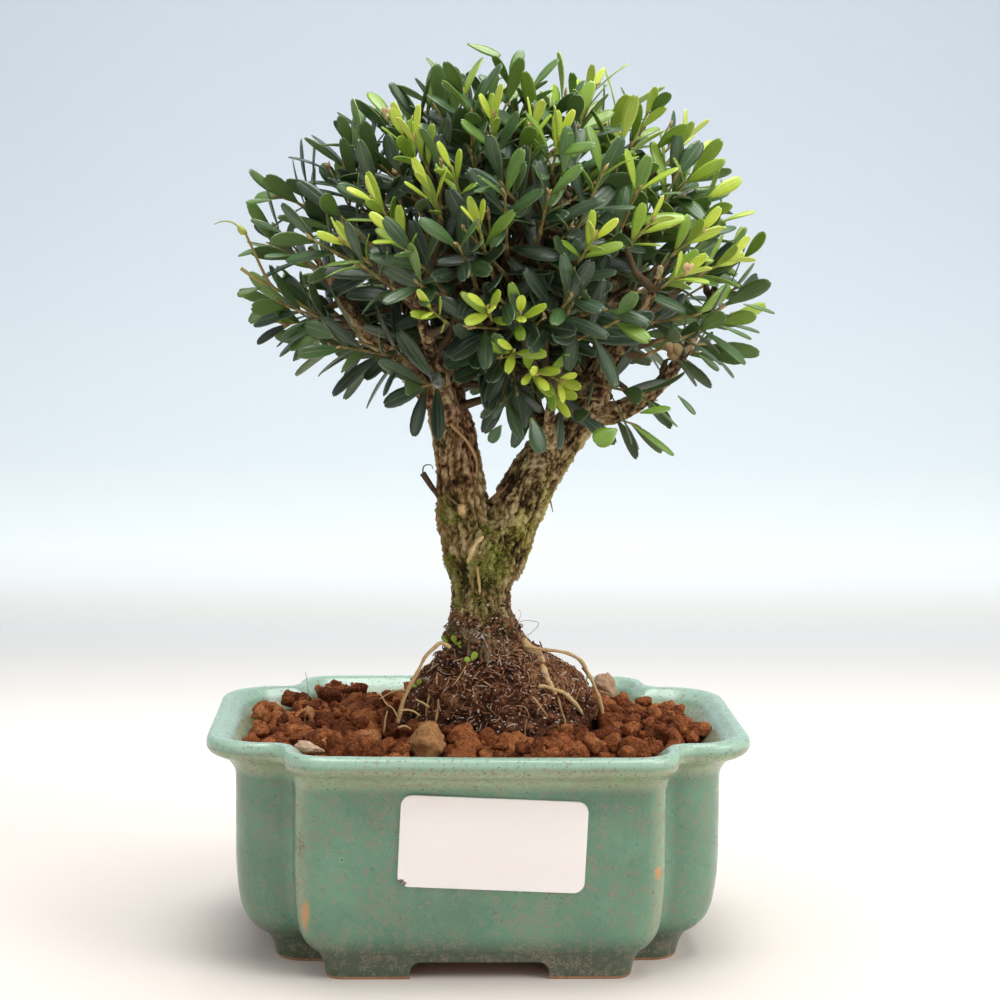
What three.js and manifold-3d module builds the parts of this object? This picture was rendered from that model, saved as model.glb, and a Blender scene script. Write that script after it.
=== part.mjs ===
// A harland boxwood bonsai planted in its glazed mokko pot.
// Millimetres, +Z up, the front of the pot towards -Y.
import * as THREE from 'three';
import { mergeVertices } from 'three/addons/utils/BufferGeometryUtils.js';
import Module from 'manifold-3d';

const wasm = await Module();
wasm.setup();

const V = (x, y, z) => new THREE.Vector3(x, y, z);
const UP = V(0, 0, 1);

// Pot. A station is the plan at one height: a long lobe to each side and a deep one front and back.
const RIM = { length: 75, depth: 57.9, shoulder: 40.5, lobe: 52.8, sideCorner: 15, frontCorner: 11, cove: 6 };
const WALL = {
  length: 67.4, depth: 49.1, shoulder: 33.5, lobe: 50.2, sideCorner: 13, frontCorner: 7.5, cove: 4,
};
const FOOT = { length: 56, depth: 45.7, shoulder: 30, lobe: 41.5, sideCorner: 8, frontCorner: 5, cove: 4 };
const INSIDE = { length: 61.4, depth: 43.1, shoulder: 28, lobe: 44, sideCorner: 12, frontCorner: 4, cove: 4 };
const FLOOR = { length: 51, depth: 36, shoulder: 23.5, lobe: 37.5, sideCorner: 8, frontCorner: 4, cove: 4 };
const RECESS = { length: 49, depth: 38.5, shoulder: 23, lobe: 34.5, sideCorner: 7, frontCorner: 4, cove: 4 };
const POT_HEIGHT = 63.3;
const UNDERSIDE = 4.9;
const FLOOR_TOP = 10;
const FOOT_GAP_FRONT = 18.8;
const FOOT_GAP_SIDE = 10.5;
const DRAIN_RADIUS = 6.5;
const DRAIN_X = 27;
const SCREEN_SIDE = 19;
const SCREEN_THICKNESS = 1.1;
const GAP = 0.3;
const STONE_GAP = 0.4;

// Blank paper label on the front wall.
const LABEL = { width: 50, height: 25, corner: 3, thickness: 0.5, x: 3.1, z: 38.4, tilt: -2.3 };

// Planting.
const SOIL_LEVEL = 57.5;
const GRANULE = 14.2;
const GRANULE_RISE = 4.6;
const STONES = [
  { name: 'stone_tan', at: [-14.5, -31.5, 61.5], size: [5.6, 5, 5.4], colour: 0xa9744a },
  { name: 'stone_pink', at: [-44.6, -34.6, 61], size: [4.6, 3, 1.9], colour: 0xd0ab92 },
  { name: 'stone_pale', at: [40, 38, 62.6], size: [4.2, 3.6, 4.4], colour: 0xc29e84 },
];

// Crown: the reach of the leaf tips round its centre.
const CROWN_CENTRE = V(8.5, 0, 188);
const CROWN = { x: 77, y: 62, up: 66, down: 46 };
const EYE = V(-20, -618, 195);

// Leaves, oblanceolate, in opposite pairs turned a quarter from pair to pair.
const LEAF_THICKNESS = 0.7;
const LEAF_BASE = 1.1;
const OLD_SHOOT = {
  stem: 21, radius: 0.85, reach: 34, pairs: 3, leaf: 18, width: 6.4, spread: 56, close: 26,
};
const YOUNG_SHOOT = {
  stem: 11, radius: 0.7, reach: 24, pairs: 2, leaf: 14, width: 5, spread: 34, close: 13,
};
const FORK_SHOOT = {
  stem: 21, radius: 0.8, reach: 34, pairs: 2, leaf: 18, width: 6.4, spread: 56, close: 26,
};
const FORK_FOOT = 1.6;
const FORK_LEAD = 12;
const FORK_LEAFY = 12;
const LEAF_CLEARANCE = 3.1;
const WOOD_CLEARANCE = 1.5;
const STEM_CLEARANCE = 1.8;

function mulberry32(seed) {
  let a = seed >>> 0;
  return () => {
    a = (a + 0x6d2b79f5) >>> 0;
    let t = a;
    t = Math.imul(t ^ (t >>> 15), t | 1);
    t ^= t + Math.imul(t ^ (t >>> 7), t | 61);
    return ((t ^ (t >>> 14)) >>> 0) / 4294967296;
  };
}

// Solids and booleans.
function solidFromTriangles(points, faces) {
  const vertProperties = new Float32Array(points.length * 3);
  points.forEach((p, i) => vertProperties.set([p.x, p.y, p.z], i * 3));
  const triVerts = new Uint32Array(faces.flat());
  return new wasm.Manifold(new wasm.Mesh({ numProp: 3, vertProperties, triVerts }));
}

// Only the positions, with the shared corners merged.
function bareGeometry(geometry) {
  const bare = geometry.index ? geometry.toNonIndexed() : geometry.clone();
  bare.deleteAttribute('normal');
  bare.deleteAttribute('uv');
  return mergeVertices(bare, 1e-4);
}

function solidFromGeometry(geometry) {
  const merged = bareGeometry(geometry);
  const vertProperties = new Float32Array(merged.attributes.position.array);
  const triVerts = new Uint32Array(merged.index.array);
  return new wasm.Manifold(new wasm.Mesh({ numProp: 3, vertProperties, triVerts }));
}

function geometryFromSolid(solid) {
  const { vertProperties, triVerts, numProp } = solid.getMesh();
  const position = new Float32Array((vertProperties.length / numProp) * 3);
  for (let i = 0; i < position.length / 3; i += 1) {
    position.set(vertProperties.subarray(i * numProp, i * numProp + 3), i * 3);
  }
  const geometry = new THREE.BufferGeometry();
  geometry.setAttribute('position', new THREE.BufferAttribute(position, 3));
  geometry.setIndex(new THREE.BufferAttribute(new Uint32Array(triVerts), 1));
  geometry.computeVertexNormals();
  return geometry;
}

function largestBody(solid) {
  const bodies = solid.decompose();
  return bodies.reduce((best, body) => (body.volume() > best.volume() ? body : best));
}

// A closed solid through rings of points that all have the same count, closed by a fan at each end.
function loft(rings) {
  const points = rings.flat();
  const count = rings[0].length;
  const faces = [];
  for (let r = 0; r + 1 < rings.length; r += 1) {
    for (let i = 0; i < count; i += 1) {
      const a = r * count + i;
      const b = r * count + ((i + 1) % count);
      faces.push([a, b, b + count], [a, b + count, a + count]);
    }
  }
  const centreOf = (ring) => ring.reduce((sum, p) => sum.add(p), V(0, 0, 0)).divideScalar(count);
  points.push(centreOf(rings[0]), centreOf(rings[rings.length - 1]));
  const last = (rings.length - 1) * count;
  for (let i = 0; i < count; i += 1) {
    faces.push([(i + 1) % count, i, points.length - 2]);
    faces.push([last + i, last + ((i + 1) % count), points.length - 1]);
  }
  return solidFromTriangles(points, faces);
}

// Pot
function blend(a, b, t) {
  return Object.fromEntries(Object.keys(a).map((key) => [key, a[key] + (b[key] - a[key]) * t]));
}

function grown(station, by) {
  const { length, depth, shoulder, lobe } = station;
  return { ...station, length: length + by, depth: depth + by, shoulder: shoulder + by, lobe: lobe + by };
}

function arc(cx, cy, radius, from, to, steps) {
  return Array.from({ length: steps + 1 }, (_, i) => {
    const angle = THREE.MathUtils.degToRad(from + ((to - from) * i) / steps);
    return [cx + radius * Math.cos(angle), cy + radius * Math.sin(angle)];
  });
}

function plan(s, z) {
  const quarter = [
    ...arc(s.length - s.sideCorner, s.shoulder - s.sideCorner, s.sideCorner, 0, 90, 3),
    ...arc(s.lobe + s.cove, s.shoulder + s.cove, s.cove, 270, 180, 2),
    ...arc(s.lobe - s.frontCorner, s.depth - s.frontCorner, s.frontCorner, 0, 90, 2),
  ];
  const back = [...quarter].reverse();
  return [
    ...quarter.map(([x, y]) => V(x, y, z)),
    ...back.map(([x, y]) => V(-x, y, z)),
    ...quarter.map(([x, y]) => V(-x, -y, z)),
    ...back.map(([x, y]) => V(x, -y, z)),
  ];
}

function potOutside() {
  const towardsFoot = [[0, 1], [6.8, 0.76], [8.8, 0.46], [13, 0.18], [21, 0.04]];
  const towardsRim = [
    [51.8, 0], [54, 0.13], [56.2, 0.34], [57.9, 0.76], [60, 0.98], [62.4, 0.97], [POT_HEIGHT, 0.74],
  ];
  return loft([
    ...towardsFoot.map(([z, t]) => plan(blend(WALL, FOOT, t), z)),
    ...towardsRim.map(([z, t]) => plan(blend(WALL, RIM, t), z)),
  ]);
}

function potInside(grow, top) {
  const floor = FLOOR_TOP - grow;
  const rings = [
    plan(grown(FLOOR, grow), floor),
    plan(grown(blend(FLOOR, INSIDE, 0.62), grow), floor + 2),
    plan(grown(INSIDE, grow), floor + 9),
    plan(grown(INSIDE, grow), 51),
    plan(grown(blend(INSIDE, RIM, 0.2), grow), 56.5),
    plan(grown(blend(INSIDE, RIM, 0.46), grow), 60.2),
    plan(grown(blend(INSIDE, RIM, 0.74), grow), POT_HEIGHT),
  ];
  if (top > POT_HEIGHT) rings.push(plan(grown(blend(INSIDE, RIM, 0.8), grow), top));
  return loft(rings);
}

function footGap(half, reach, turned) {
  const shape = new THREE.Shape();
  shape.moveTo(-half, -2);
  shape.lineTo(half, -2);
  shape.lineTo(half, UNDERSIDE - 3);
  shape.lineTo(half - 3, UNDERSIDE);
  shape.lineTo(3 - half, UNDERSIDE);
  shape.lineTo(-half, UNDERSIDE - 3);
  const geometry = new THREE.ExtrudeGeometry(shape, { depth: 2 * reach, bevelEnabled: false });
  geometry.translate(0, 0, -reach);
  geometry.rotateX(Math.PI / 2);
  if (turned) geometry.rotateZ(Math.PI / 2);
  return solidFromGeometry(geometry);
}

function drainHole(x) {
  const geometry = new THREE.CylinderGeometry(DRAIN_RADIUS, DRAIN_RADIUS, 12, 20);
  geometry.rotateX(Math.PI / 2);
  geometry.translate(x, 0, (UNDERSIDE + FLOOR_TOP) / 2);
  return solidFromGeometry(geometry);
}

function makePot() {
  let pot = potOutside().subtract(potInside(0, POT_HEIGHT + 2));
  pot = pot.subtract(loft([plan(RECESS, -2), plan(grown(RECESS, -1), UNDERSIDE)]));
  pot = pot.subtract(footGap(FOOT_GAP_FRONT, 70, false));
  pot = pot.subtract(footGap(FOOT_GAP_SIDE, 80, true));
  return pot.subtract(drainHole(-DRAIN_X)).subtract(drainHole(DRAIN_X));
}

// Square plastic net that keeps the soil off a drain hole.
function screenGeometry() {
  const pitch = SCREEN_SIDE / 2.6;
  let net = solidFromGeometry(new THREE.BoxGeometry(SCREEN_SIDE, SCREEN_SIDE, SCREEN_THICKNESS));
  for (const i of [-0.5, 0.5]) {
    for (const j of [-0.5, 0.5]) {
      const opening = new THREE.BoxGeometry(pitch * 0.7, pitch * 0.7, 2 * SCREEN_THICKNESS);
      opening.translate(i * pitch, j * pitch, 0);
      net = net.subtract(solidFromGeometry(opening));
    }
  }
  return geometryFromSolid(net);
}

function labelGeometry() {
  const w = LABEL.width / 2;
  const h = LABEL.height / 2;
  const r = LABEL.corner;
  const shape = new THREE.Shape();
  shape.moveTo(-w + r, -h);
  shape.lineTo(w - r, -h);
  shape.absarc(w - r, -h + r, r, -Math.PI / 2, 0, false);
  shape.absarc(w - r, h - r, r, 0, Math.PI / 2, false);
  shape.absarc(-w + r, h - r, r, Math.PI / 2, Math.PI, false);
  shape.absarc(-w + r, -h + r, r, Math.PI, Math.PI * 1.5, false);
  return new THREE.ExtrudeGeometry(shape, { depth: LABEL.thickness, bevelEnabled: false, curveSegments: 3 });
}

// Soil: crumbs on a jittered hexagonal lattice, each a six-sided lump with a tilted three-cornered top.
function crumbField() {
  const random = mulberry32(41);
  const rowStep = GRANULE * Math.sqrt(0.75);
  const columns = Math.ceil(86 / GRANULE);
  const rows = Math.ceil(66 / rowStep);
  const points = [];
  const faces = [];
  const centre = new Map();
  const key = (i, j) => `${i},${j}`;
  for (let j = -rows; j <= rows; j += 1) {
    for (let i = -columns; i <= columns; i += 1) {
      const x = (i + (Math.abs(j) % 2) / 2) * GRANULE + (random() - 0.5) * GRANULE * 0.44;
      const y = j * rowStep + (random() - 0.5) * GRANULE * 0.44;
      const rise = GRANULE_RISE * (0.55 + 0.75 * random());
      centre.set(key(i, j), { x, y, rise, lean: random() * Math.PI * 2 });
    }
  }
  const swell = (x, y) => 1.5 * Math.exp(-(((x - 6) / 45) ** 2) - (y / 34) ** 2);
  const corners = new Map();
  const cornerOf = (a, b, c) => {
    const name = [a, b, c].sort().join(';');
    if (!corners.has(name)) {
      const [p, q, s] = [a, b, c].map((k) => centre.get(k));
      const x = (p.x + q.x + s.x) / 3;
      const y = (p.y + q.y + s.y) / 3;
      points.push(V(x, y, SOIL_LEVEL + swell(x, y)));
      corners.set(name, points.length - 1);
    }
    return corners.get(name);
  };
  for (let j = -rows + 1; j < rows; j += 1) {
    for (let i = -columns + 1; i < columns; i += 1) {
      const odd = Math.abs(j) % 2;
      const ring = [
        [i + 1, j], [i + odd, j + 1], [i + odd - 1, j + 1],
        [i - 1, j], [i + odd - 1, j - 1], [i + odd, j - 1],
      ];
      const here = key(i, j);
      const { x, y, rise, lean } = centre.get(here);
      const outer = ring.map((_, k) => cornerOf(here, key(...ring[k]), key(...ring[(k + 1) % 6])));
      const top = [0, 2, 4].map((k) => {
        const [p, q] = [points[outer[k]], points[outer[k + 1]]];
        const tx = x + ((p.x + q.x) / 2 - x) * 0.62;
        const ty = y + ((p.y + q.y) / 2 - y) * 0.62;
        const tilt = ((tx - x) * Math.cos(lean) + (ty - y) * Math.sin(lean)) * 0.5;
        points.push(V(tx, ty, SOIL_LEVEL + swell(x, y) + rise + tilt));
        return points.length - 1;
      });
      for (let k = 0; k < 3; k += 1) {
        const [a, b, c] = [outer[2 * k], outer[2 * k + 1], outer[(2 * k + 2) % 6]];
        faces.push([a, b, top[k]], [b, c, top[k]], [c, top[(k + 1) % 3], top[k]]);
      }
      faces.push([top[0], top[1], top[2]]);
    }
  }
  return closedBelow(points, faces, 0);
}

// Closes an open sheet with a flat copy of itself at a lower height and walls along its border.
function closedBelow(points, faces, bottom) {
  const count = points.length;
  const all = [...points, ...points.map((p) => V(p.x, p.y, bottom))];
  const closed = faces.flatMap(([a, b, c]) => [[a, b, c], [c + count, b + count, a + count]]);
  const edges = new Set(faces.flatMap(([a, b, c]) => [`${a},${b}`, `${b},${c}`, `${c},${a}`]));
  for (const edge of edges) {
    const [a, b] = edge.split(',').map(Number);
    if (!edges.has(`${b},${a}`)) closed.push([b, a, a + count], [b, a + count, b + count]);
  }
  return solidFromTriangles(all, closed);
}

// Root ball of dark compost, a steep lumpy cone. Each row is height, centre x, half length, half depth.
const MOUND = [
  [48, 6, 27, 20], [58, 6, 29.5, 22], [66, 6.5, 27, 20], [74.5, 7, 22.5, 17], [82, 4.5, 13.5, 12.5],
  [88, 2, 6, 6],
];

function makeMound(grow) {
  const random = mulberry32(7);
  const sides = 13;
  return loft(MOUND.map(([z, cx, rx, ry], row) => Array.from({ length: sides }, (_, i) => {
    const angle = (i / sides) * Math.PI * 2 + row * 0.13;
    const lump = 1 + (random() - 0.5) * 0.13;
    const x = cx + (rx * lump + grow) * Math.cos(angle);
    const y = 1 + (ry * lump + grow) * Math.sin(angle);
    return V(x, y, z + (row === 0 ? -grow : 0) + (row === MOUND.length - 1 ? grow : 0));
  })));
}

function makeStone(stone, index, grow) {
  const random = mulberry32(90 + index);
  const bare = bareGeometry(new THREE.IcosahedronGeometry(1, 0));
  const position = bare.attributes.position;
  for (let i = 0; i < position.count; i += 1) {
    const k = 0.86 + 0.3 * random();
    const [x, y, z] = stone.size.map((s) => s * k + grow);
    position.setXYZ(i, position.getX(i) * x, position.getY(i) * y, position.getZ(i) * z);
  }
  bare.translate(...stone.at);
  return solidFromGeometry(bare);
}

// Wood. A tube through points with a radius at each, lumpy where rough is more than zero.
function tube(points, radii, sides, rough = 0, endDirection = null, seed = 1) {
  const random = mulberry32(seed);
  let normal = null;
  const rings = points.map((p, i) => {
    const before = points[Math.max(0, i - 1)];
    const after = points[Math.min(points.length - 1, i + 1)];
    let tangent = after.clone().sub(before).normalize();
    if (endDirection && i === points.length - 1) tangent = endDirection.clone();
    if (!normal) normal = Math.abs(tangent.z) > 0.9 ? V(1, 0, 0) : UP.clone();
    normal = normal.clone().addScaledVector(tangent, -normal.dot(tangent)).normalize();
    const side = tangent.clone().cross(normal);
    return Array.from({ length: sides }, (_, k) => {
      const angle = (k / sides) * Math.PI * 2;
      const radius = radii[i] * (1 + (random() - 0.5) * rough);
      return p.clone()
        .addScaledVector(normal, Math.cos(angle) * radius)
        .addScaledVector(side, Math.sin(angle) * radius);
    });
  });
  return loft(rings);
}

// Catmull-Rom points, with the same number of steps between each pair of knots.
function smoothed(knots, steps) {
  const at = (i) => knots[Math.max(0, Math.min(knots.length - 1, i))];
  const result = [];
  for (let i = 0; i + 1 < knots.length; i += 1) {
    for (let s = 0; s < steps; s += 1) {
      const t = s / steps;
      result.push(at(i).map((_, c) => {
        const [a, b, d, e] = [at(i - 1)[c], at(i)[c], at(i + 1)[c], at(i + 2)[c]];
        const bent = 2 * a - 5 * b + 4 * d - e;
        const turned = 3 * b - a - 3 * d + e;
        return b + 0.5 * t * (d - a + t * (bent + t * turned));
      }));
    }
  }
  result.push([...knots[knots.length - 1]]);
  return result;
}

// Each knot is x, y, z and the radius there.
const STEM = [
  [4, 2, 50, 12], [3.6, 2, 66, 13], [2.8, 1, 77, 12.6], [1.8, 0.5, 85, 11], [1, 0, 94, 8.9],
  [1.2, 0, 102, 9], [2.4, 0, 109.5, 10.6], [2.8, 0, 115.5, 9.4], [2.8, 0, 120, 5],
];
const LIMBS = [
  [
    [-0.5, 0, 104, 8.2], [-3.8, 0, 119, 8.2], [-5.6, -0.5, 132, 6.7], [-7.2, -0.5, 144, 6.5],
    [-10.5, 0, 156, 5.8],
  ],
  [
    [4.5, 0, 105, 8], [9.8, 0, 120, 8], [16.6, 0, 134, 7.2], [24, 0, 143.6, 6.2], [31, 0, 152.5, 5.2],
    [34.6, 0, 166, 4],
  ],
];
const BRANCHES = [
  [[-9, 0, 149, 4], [-23, -4, 165, 3.4], [-34, -6, 174.5, 2.9], [-41, -6, 185, 2.3], [-48, -5, 196, 1.6]],
  [[-10.5, 1, 153, 4.6], [-16, 4, 168, 3.6], [-23, 6, 186, 2.8], [-29, 4, 206, 1.6]],
  [[-8, -2, 147, 3.8], [-12, -15, 162, 3], [-17, -28, 178, 2.2], [-19, -34, 189, 1.6]],
  [[-9, 2, 150, 3.8], [-14, 17, 165, 3], [-21, 30, 181, 2.2], [-26, 35, 193, 1.6]],
  [[-10, 0, 154, 4.4], [-5, 1, 172, 3.6], [-3, -1, 192, 2.8], [-6, -3, 215, 1.6]],
  [[-5, 0, 166, 3], [3, -9, 184, 2.6], [12, -17, 199, 2.2], [23, -22, 210, 1.6]],
  [[28, 0, 148.5, 4.2], [41, -2, 151.5, 3.5], [52, -3, 160, 2.9], [61, -2, 174, 2.2], [66, -2, 187, 1.6]],
  [[34.6, 0, 163, 3.9], [36, 2, 182, 3], [40, 3, 200, 2.3], [44, 2, 214, 1.6]],
  [[32, -2, 156, 3.4], [38, -17, 169, 2.7], [44, -28, 182, 2.1], [47, -32, 192, 1.6]],
  [[32, 2, 157, 3.4], [39, 18, 171, 2.7], [46, 30, 184, 2.1], [49, 34, 194, 1.6]],
  [[30, 0, 151, 4], [24, 2, 170, 3.2], [19, 1, 192, 2.5], [20, 0, 216, 1.6]],
  [[20, 3, 138, 3.6], [15, 20, 156, 2.8], [11, 34, 174, 2.1], [10, 38, 188, 1.6]],
  [[20, -3, 138, 3.4], [19, -16, 147, 2.6], [18, -28, 157, 1.7]],
];
// Roots that run over the compost and down into the soil, with the same four numbers a knot.
const ROOTS = [
  [[-6, -4, 84, 2], [-15.5, -9, 77, 1.5], [-19.5, -16, 69, 1.1], [-23.5, -23.5, 57, 0.9]],
  [[-4, -8, 82, 2.2], [-9.5, -15, 74, 1.5], [-13.5, -20.5, 66, 1.1], [-15, -24, 56, 0.9]],
  [[10, -7, 84, 2.6], [15.5, -13.5, 77, 2], [19, -19, 70, 1.3], [21.5, -24, 57, 0.9]],
  [[10, -3, 85, 3], [21, -9, 79, 2], [29, -16, 71.5, 1.4], [33.5, -22, 57, 0.9]],
  [[9, 2, 86, 3], [23, -2, 80.5, 2], [33, -5, 71, 1.4], [38, -7, 56, 1]],
  [[-5, 6, 84, 2.2], [-12, 13, 76, 1.5], [-19, 18, 67, 1.1], [-23, 21, 56, 0.9]],
  [[7, 9, 84, 2.4], [13, 16.5, 76, 1.6], [18, 21, 67, 1.1], [20, 24, 56, 0.9]],
  [[2, -9, 82, 2], [3.5, -16.5, 74.5, 1.4], [3.5, -21.5, 66, 1.1], [2, -25, 56, 0.9]],
];

const toPoints = (rows) => rows.map(([x, y, z]) => V(x, y, z));
const toRadii = (rows, grow) => rows.map((row) => row[3] + grow);

// The same wood with a little more radius cuts the room for it in the compost and soil.
function rootedWood(grow) {
  let wood = tube(toPoints(STEM), toRadii(STEM, grow), 12, 0.16, null, 3);
  for (const knots of ROOTS) {
    wood = wood.add(tube(toPoints(knots), toRadii(knots, grow), 4));
  }
  return wood;
}

// The skeleton as straight pieces, for finding where a twig starts and what a leaf has to miss.
function skeletonPieces() {
  const pieces = [];
  for (const knots of [...LIMBS, ...BRANCHES]) {
    const line = smoothed(knots, 3);
    for (let i = 0; i + 1 < line.length; i += 1) {
      pieces.push({ a: V(...line[i]), b: V(...line[i + 1]), radius: line[i][3], owner: -1 });
    }
  }
  return pieces;
}

function distanceToPiece(p, piece) {
  const along = piece.b.clone().sub(piece.a);
  const t = Math.max(0, Math.min(1, p.clone().sub(piece.a).dot(along) / along.lengthSq()));
  return p.distanceTo(piece.a.clone().addScaledVector(along, t)) - piece.radius;
}

// Tips of the shoots as they are seen from the front, x and z on the plane through the trunk,
// with the depth y where a tip lies inside the crown's surface.
const YOUNG_TIPS = [
  [-38, 219], [-20, 223], [-28, 240], [-12, 230], [2, 245], [24, 240], [-20, 183], [0, 184],
  [10, 169], [19, 159], [37, 208], [56, 213], [82, 201], [64, 238], [68, 196], [33, 252],
];
const OLD_TIPS = [
  [-68, 184], [-69, 203], [-62, 217], [-51, 170], [-27, 154], [-43, 198], [-26, 202], [-10, 205],
  [6, 222], [21, 222], [39, 229], [30, 188], [47, 180], [59, 153, -24], [82, 180], [36, 143, -30],
  [6, 145], [-8, 251],
];
const BACK_SHOOTS = 15;

// Forks into the gaps between the tips: the number of the shoot that each grows from, counted from 0
// through the old, young and back shoots, and the place of the fork's own tip.
const FORKS = [
  [2, -36, -8, 235], [38, 60, -20, 221], [42, 74, 1, 193], [35, 2, 11, 245], [17, 12, -8, 247],
  [17, -20, 1, 245],
];

function crownReach(direction) {
  const { x, y, up, down } = CROWN;
  return 1 / Math.hypot(direction.x / x, direction.y / y, direction.z / (direction.z > 0 ? up : down));
}

// The point of the crown's front, or at a given depth, that is seen at x, z on the plane through the trunk.
function tipSeenAt(x, z, depth = null) {
  let y = depth ?? 0;
  for (let round = 0; depth === null && round < 6; round += 1) {
    const near = (y - EYE.y) / -EYE.y;
    const px = EYE.x + (x - EYE.x) * near - CROWN_CENTRE.x;
    const pz = EYE.z + (z - EYE.z) * near - CROWN_CENTRE.z;
    const left = 1 - (px / CROWN.x) ** 2 - (pz / (pz > 0 ? CROWN.up : CROWN.down)) ** 2;
    y = -CROWN.y * Math.sqrt(Math.max(0, left));
  }
  const near = (y - EYE.y) / -EYE.y;
  return V(EYE.x + (x - EYE.x) * near, y, EYE.z + (z - EYE.z) * near);
}

// Tips spread over the back of the crown by the golden angle.
function backTips(count) {
  const golden = Math.PI * (3 - Math.sqrt(5));
  return Array.from({ length: count }, (_, i) => {
    const height = 0.9 - (1.25 * (i + 0.5)) / count;
    const turn = ((i * golden) % Math.PI) * 0.94 + 0.1;
    const flat = Math.sqrt(1 - height * height);
    const direction = V(flat * Math.cos(turn), flat * Math.sin(turn), height);
    return CROWN_CENTRE.clone().addScaledVector(direction, crownReach(direction));
  });
}

// A shoot points outward and a little up. Its stem starts further out where a branch is in its way.
function shootAt(tip, kind, branches) {
  const outward = tip.clone().sub(CROWN_CENTRE).normalize();
  const direction = outward.multiplyScalar(0.8).addScaledVector(UP, 0.32).normalize();
  let { stem } = kind;
  let base = tip.clone().addScaledVector(direction, -kind.reach);
  const blocked = () => [0, 0.33, 0.66, 1].some((t) => {
    const p = base.clone().addScaledVector(direction, stem * t);
    return branches.some((piece) => distanceToPiece(p, piece) < STEM_CLEARANCE);
  });
  while (stem > 8 && blocked()) {
    base = base.addScaledVector(direction, 1.5);
    stem -= 1.5;
  }
  return { kind, direction, base, stem, bare: 2, forks: [] };
}

// A fork starts inside the foot of its shoot and is bare up to its last leaves.
function forkFrom(shoot, tip) {
  const base = shoot.base.clone().addScaledVector(shoot.direction, FORK_FOOT);
  const way = tip.clone().sub(base);
  const stem = way.length() - FORK_LEAD;
  return { kind: FORK_SHOOT, direction: way.normalize(), base, stem, bare: stem - FORK_LEAFY };
}

// The twig from the best piece of branch to the foot of a shoot, clear of the other shoots' stems.
function twigTo(shoot, branches, stems) {
  let best = null;
  const end = shoot.base.clone().addScaledVector(shoot.direction, -GAP);
  for (const { b: start } of branches) {
    const back = end.clone().sub(start);
    const middle = start.clone().lerp(end, 0.5).addScaledVector(shoot.direction, -0.14 * back.length());
    const checks = [0.25, 0.5, 0.75, 1]
      .flatMap((t) => [start.clone().lerp(middle, t), middle.clone().lerp(end, t)]);
    const near = checks.some((p) => stems.some((stem) => distanceToPiece(p, stem) < STEM_CLEARANCE));
    const cost = back.length() * (1.6 - back.clone().normalize().dot(shoot.direction)) + (near ? 500 : 0);
    if (!best || cost < best.cost) best = { cost, points: [start.clone(), middle, end] };
  }
  return best.points;
}

// Leaves of a shoot: opposite pairs up the stem and one closed pair at its end. Each leaf grows from
// the face of the four-sided stem that its turn gives.
function leavesOf(shoot, index) {
  const random = mulberry32(500 + 17 * index);
  const { direction, base, stem, bare } = shoot;
  const { pairs, leaf, width, spread, close, radius } = shoot.kind;
  const reference = Math.abs(direction.z) > 0.95 ? V(1, 0, 0) : UP;
  const first = direction.clone().cross(reference).normalize();
  const second = direction.clone().cross(first);
  const start = random() * Math.PI;
  const turned = (angle) => first.clone().multiplyScalar(Math.cos(angle))
    .addScaledVector(second, Math.sin(angle));
  shoot.corners = [0, 1, 2, 3].map((k) => turned(start + (k - 0.5) * (Math.PI / 2)));
  shoot.nodes = [];
  const leaves = [];
  for (let pair = 0; pair <= pairs; pair += 1) {
    const t = pair / pairs;
    const height = bare + (stem - 0.8 - bare) * t;
    shoot.nodes.push(height);
    for (let side = 0; side < 2; side += 1) {
      const face = (pair + 2 * side) % 4;
      const away = turned(start + face * (Math.PI / 2) + (random() - 0.5) * 0.5);
      const open = THREE.MathUtils.degToRad(spread + (close - spread) * t + (random() - 0.5) * 16);
      const length = leaf * (0.92 + 0.16 * random()) * (1 - 0.2 * t);
      const along = direction.clone().multiplyScalar(Math.cos(open)).addScaledVector(away, Math.sin(open));
      const facing = direction.clone().addScaledVector(along, -direction.dot(along)).normalize();
      const at = base.clone().addScaledVector(direction, height)
        .addScaledVector(turned(start + face * (Math.PI / 2)), radius * Math.SQRT1_2);
      const bend = 0.06 + 0.1 * random();
      leaves.push({ pair, face, at, along, facing, length, width: width * (1 - 0.14 * t), bend });
    }
  }
  return leaves;
}

// The leaf's middle surface at a share of its length, across by a share of its width.
function leafPoint(leaf, t, across) {
  const side = leaf.facing.clone().cross(leaf.along);
  return leaf.at.clone()
    .addScaledVector(leaf.along, leaf.length * t)
    .addScaledVector(side, leaf.width * across)
    .addScaledVector(leaf.facing, -leaf.length * leaf.bend * t * t);
}

const LEAF_PROBES = [
  [0.3, 0], [0.55, 0], [0.8, 0], [1, 0], [0.5, 0.38], [0.5, -0.38], [0.8, 0.42], [0.8, -0.42],
];

// A leaf is left out where it would come too close to another shoot's leaves or to wood.
function isClear(leaf, owner, accepted, pieces) {
  const probes = LEAF_PROBES.map(([t, across]) => leafPoint(leaf, t, across));
  for (const other of accepted) {
    if (other.owner === owner || other.middle.distanceTo(probes[1]) > 26) continue;
    if (probes.some((p) => other.probes.some((q) => p.distanceTo(q) < LEAF_CLEARANCE))) return false;
  }
  for (const piece of pieces) {
    const own = piece.owner === owner;
    if (own && piece.stem) continue;
    const checked = own ? probes.slice(1) : probes;
    if (checked.some((p) => distanceToPiece(p, piece) < WOOD_CLEARANCE)) return false;
  }
  accepted.push({ owner, probes, middle: probes[1] });
  return true;
}

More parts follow.
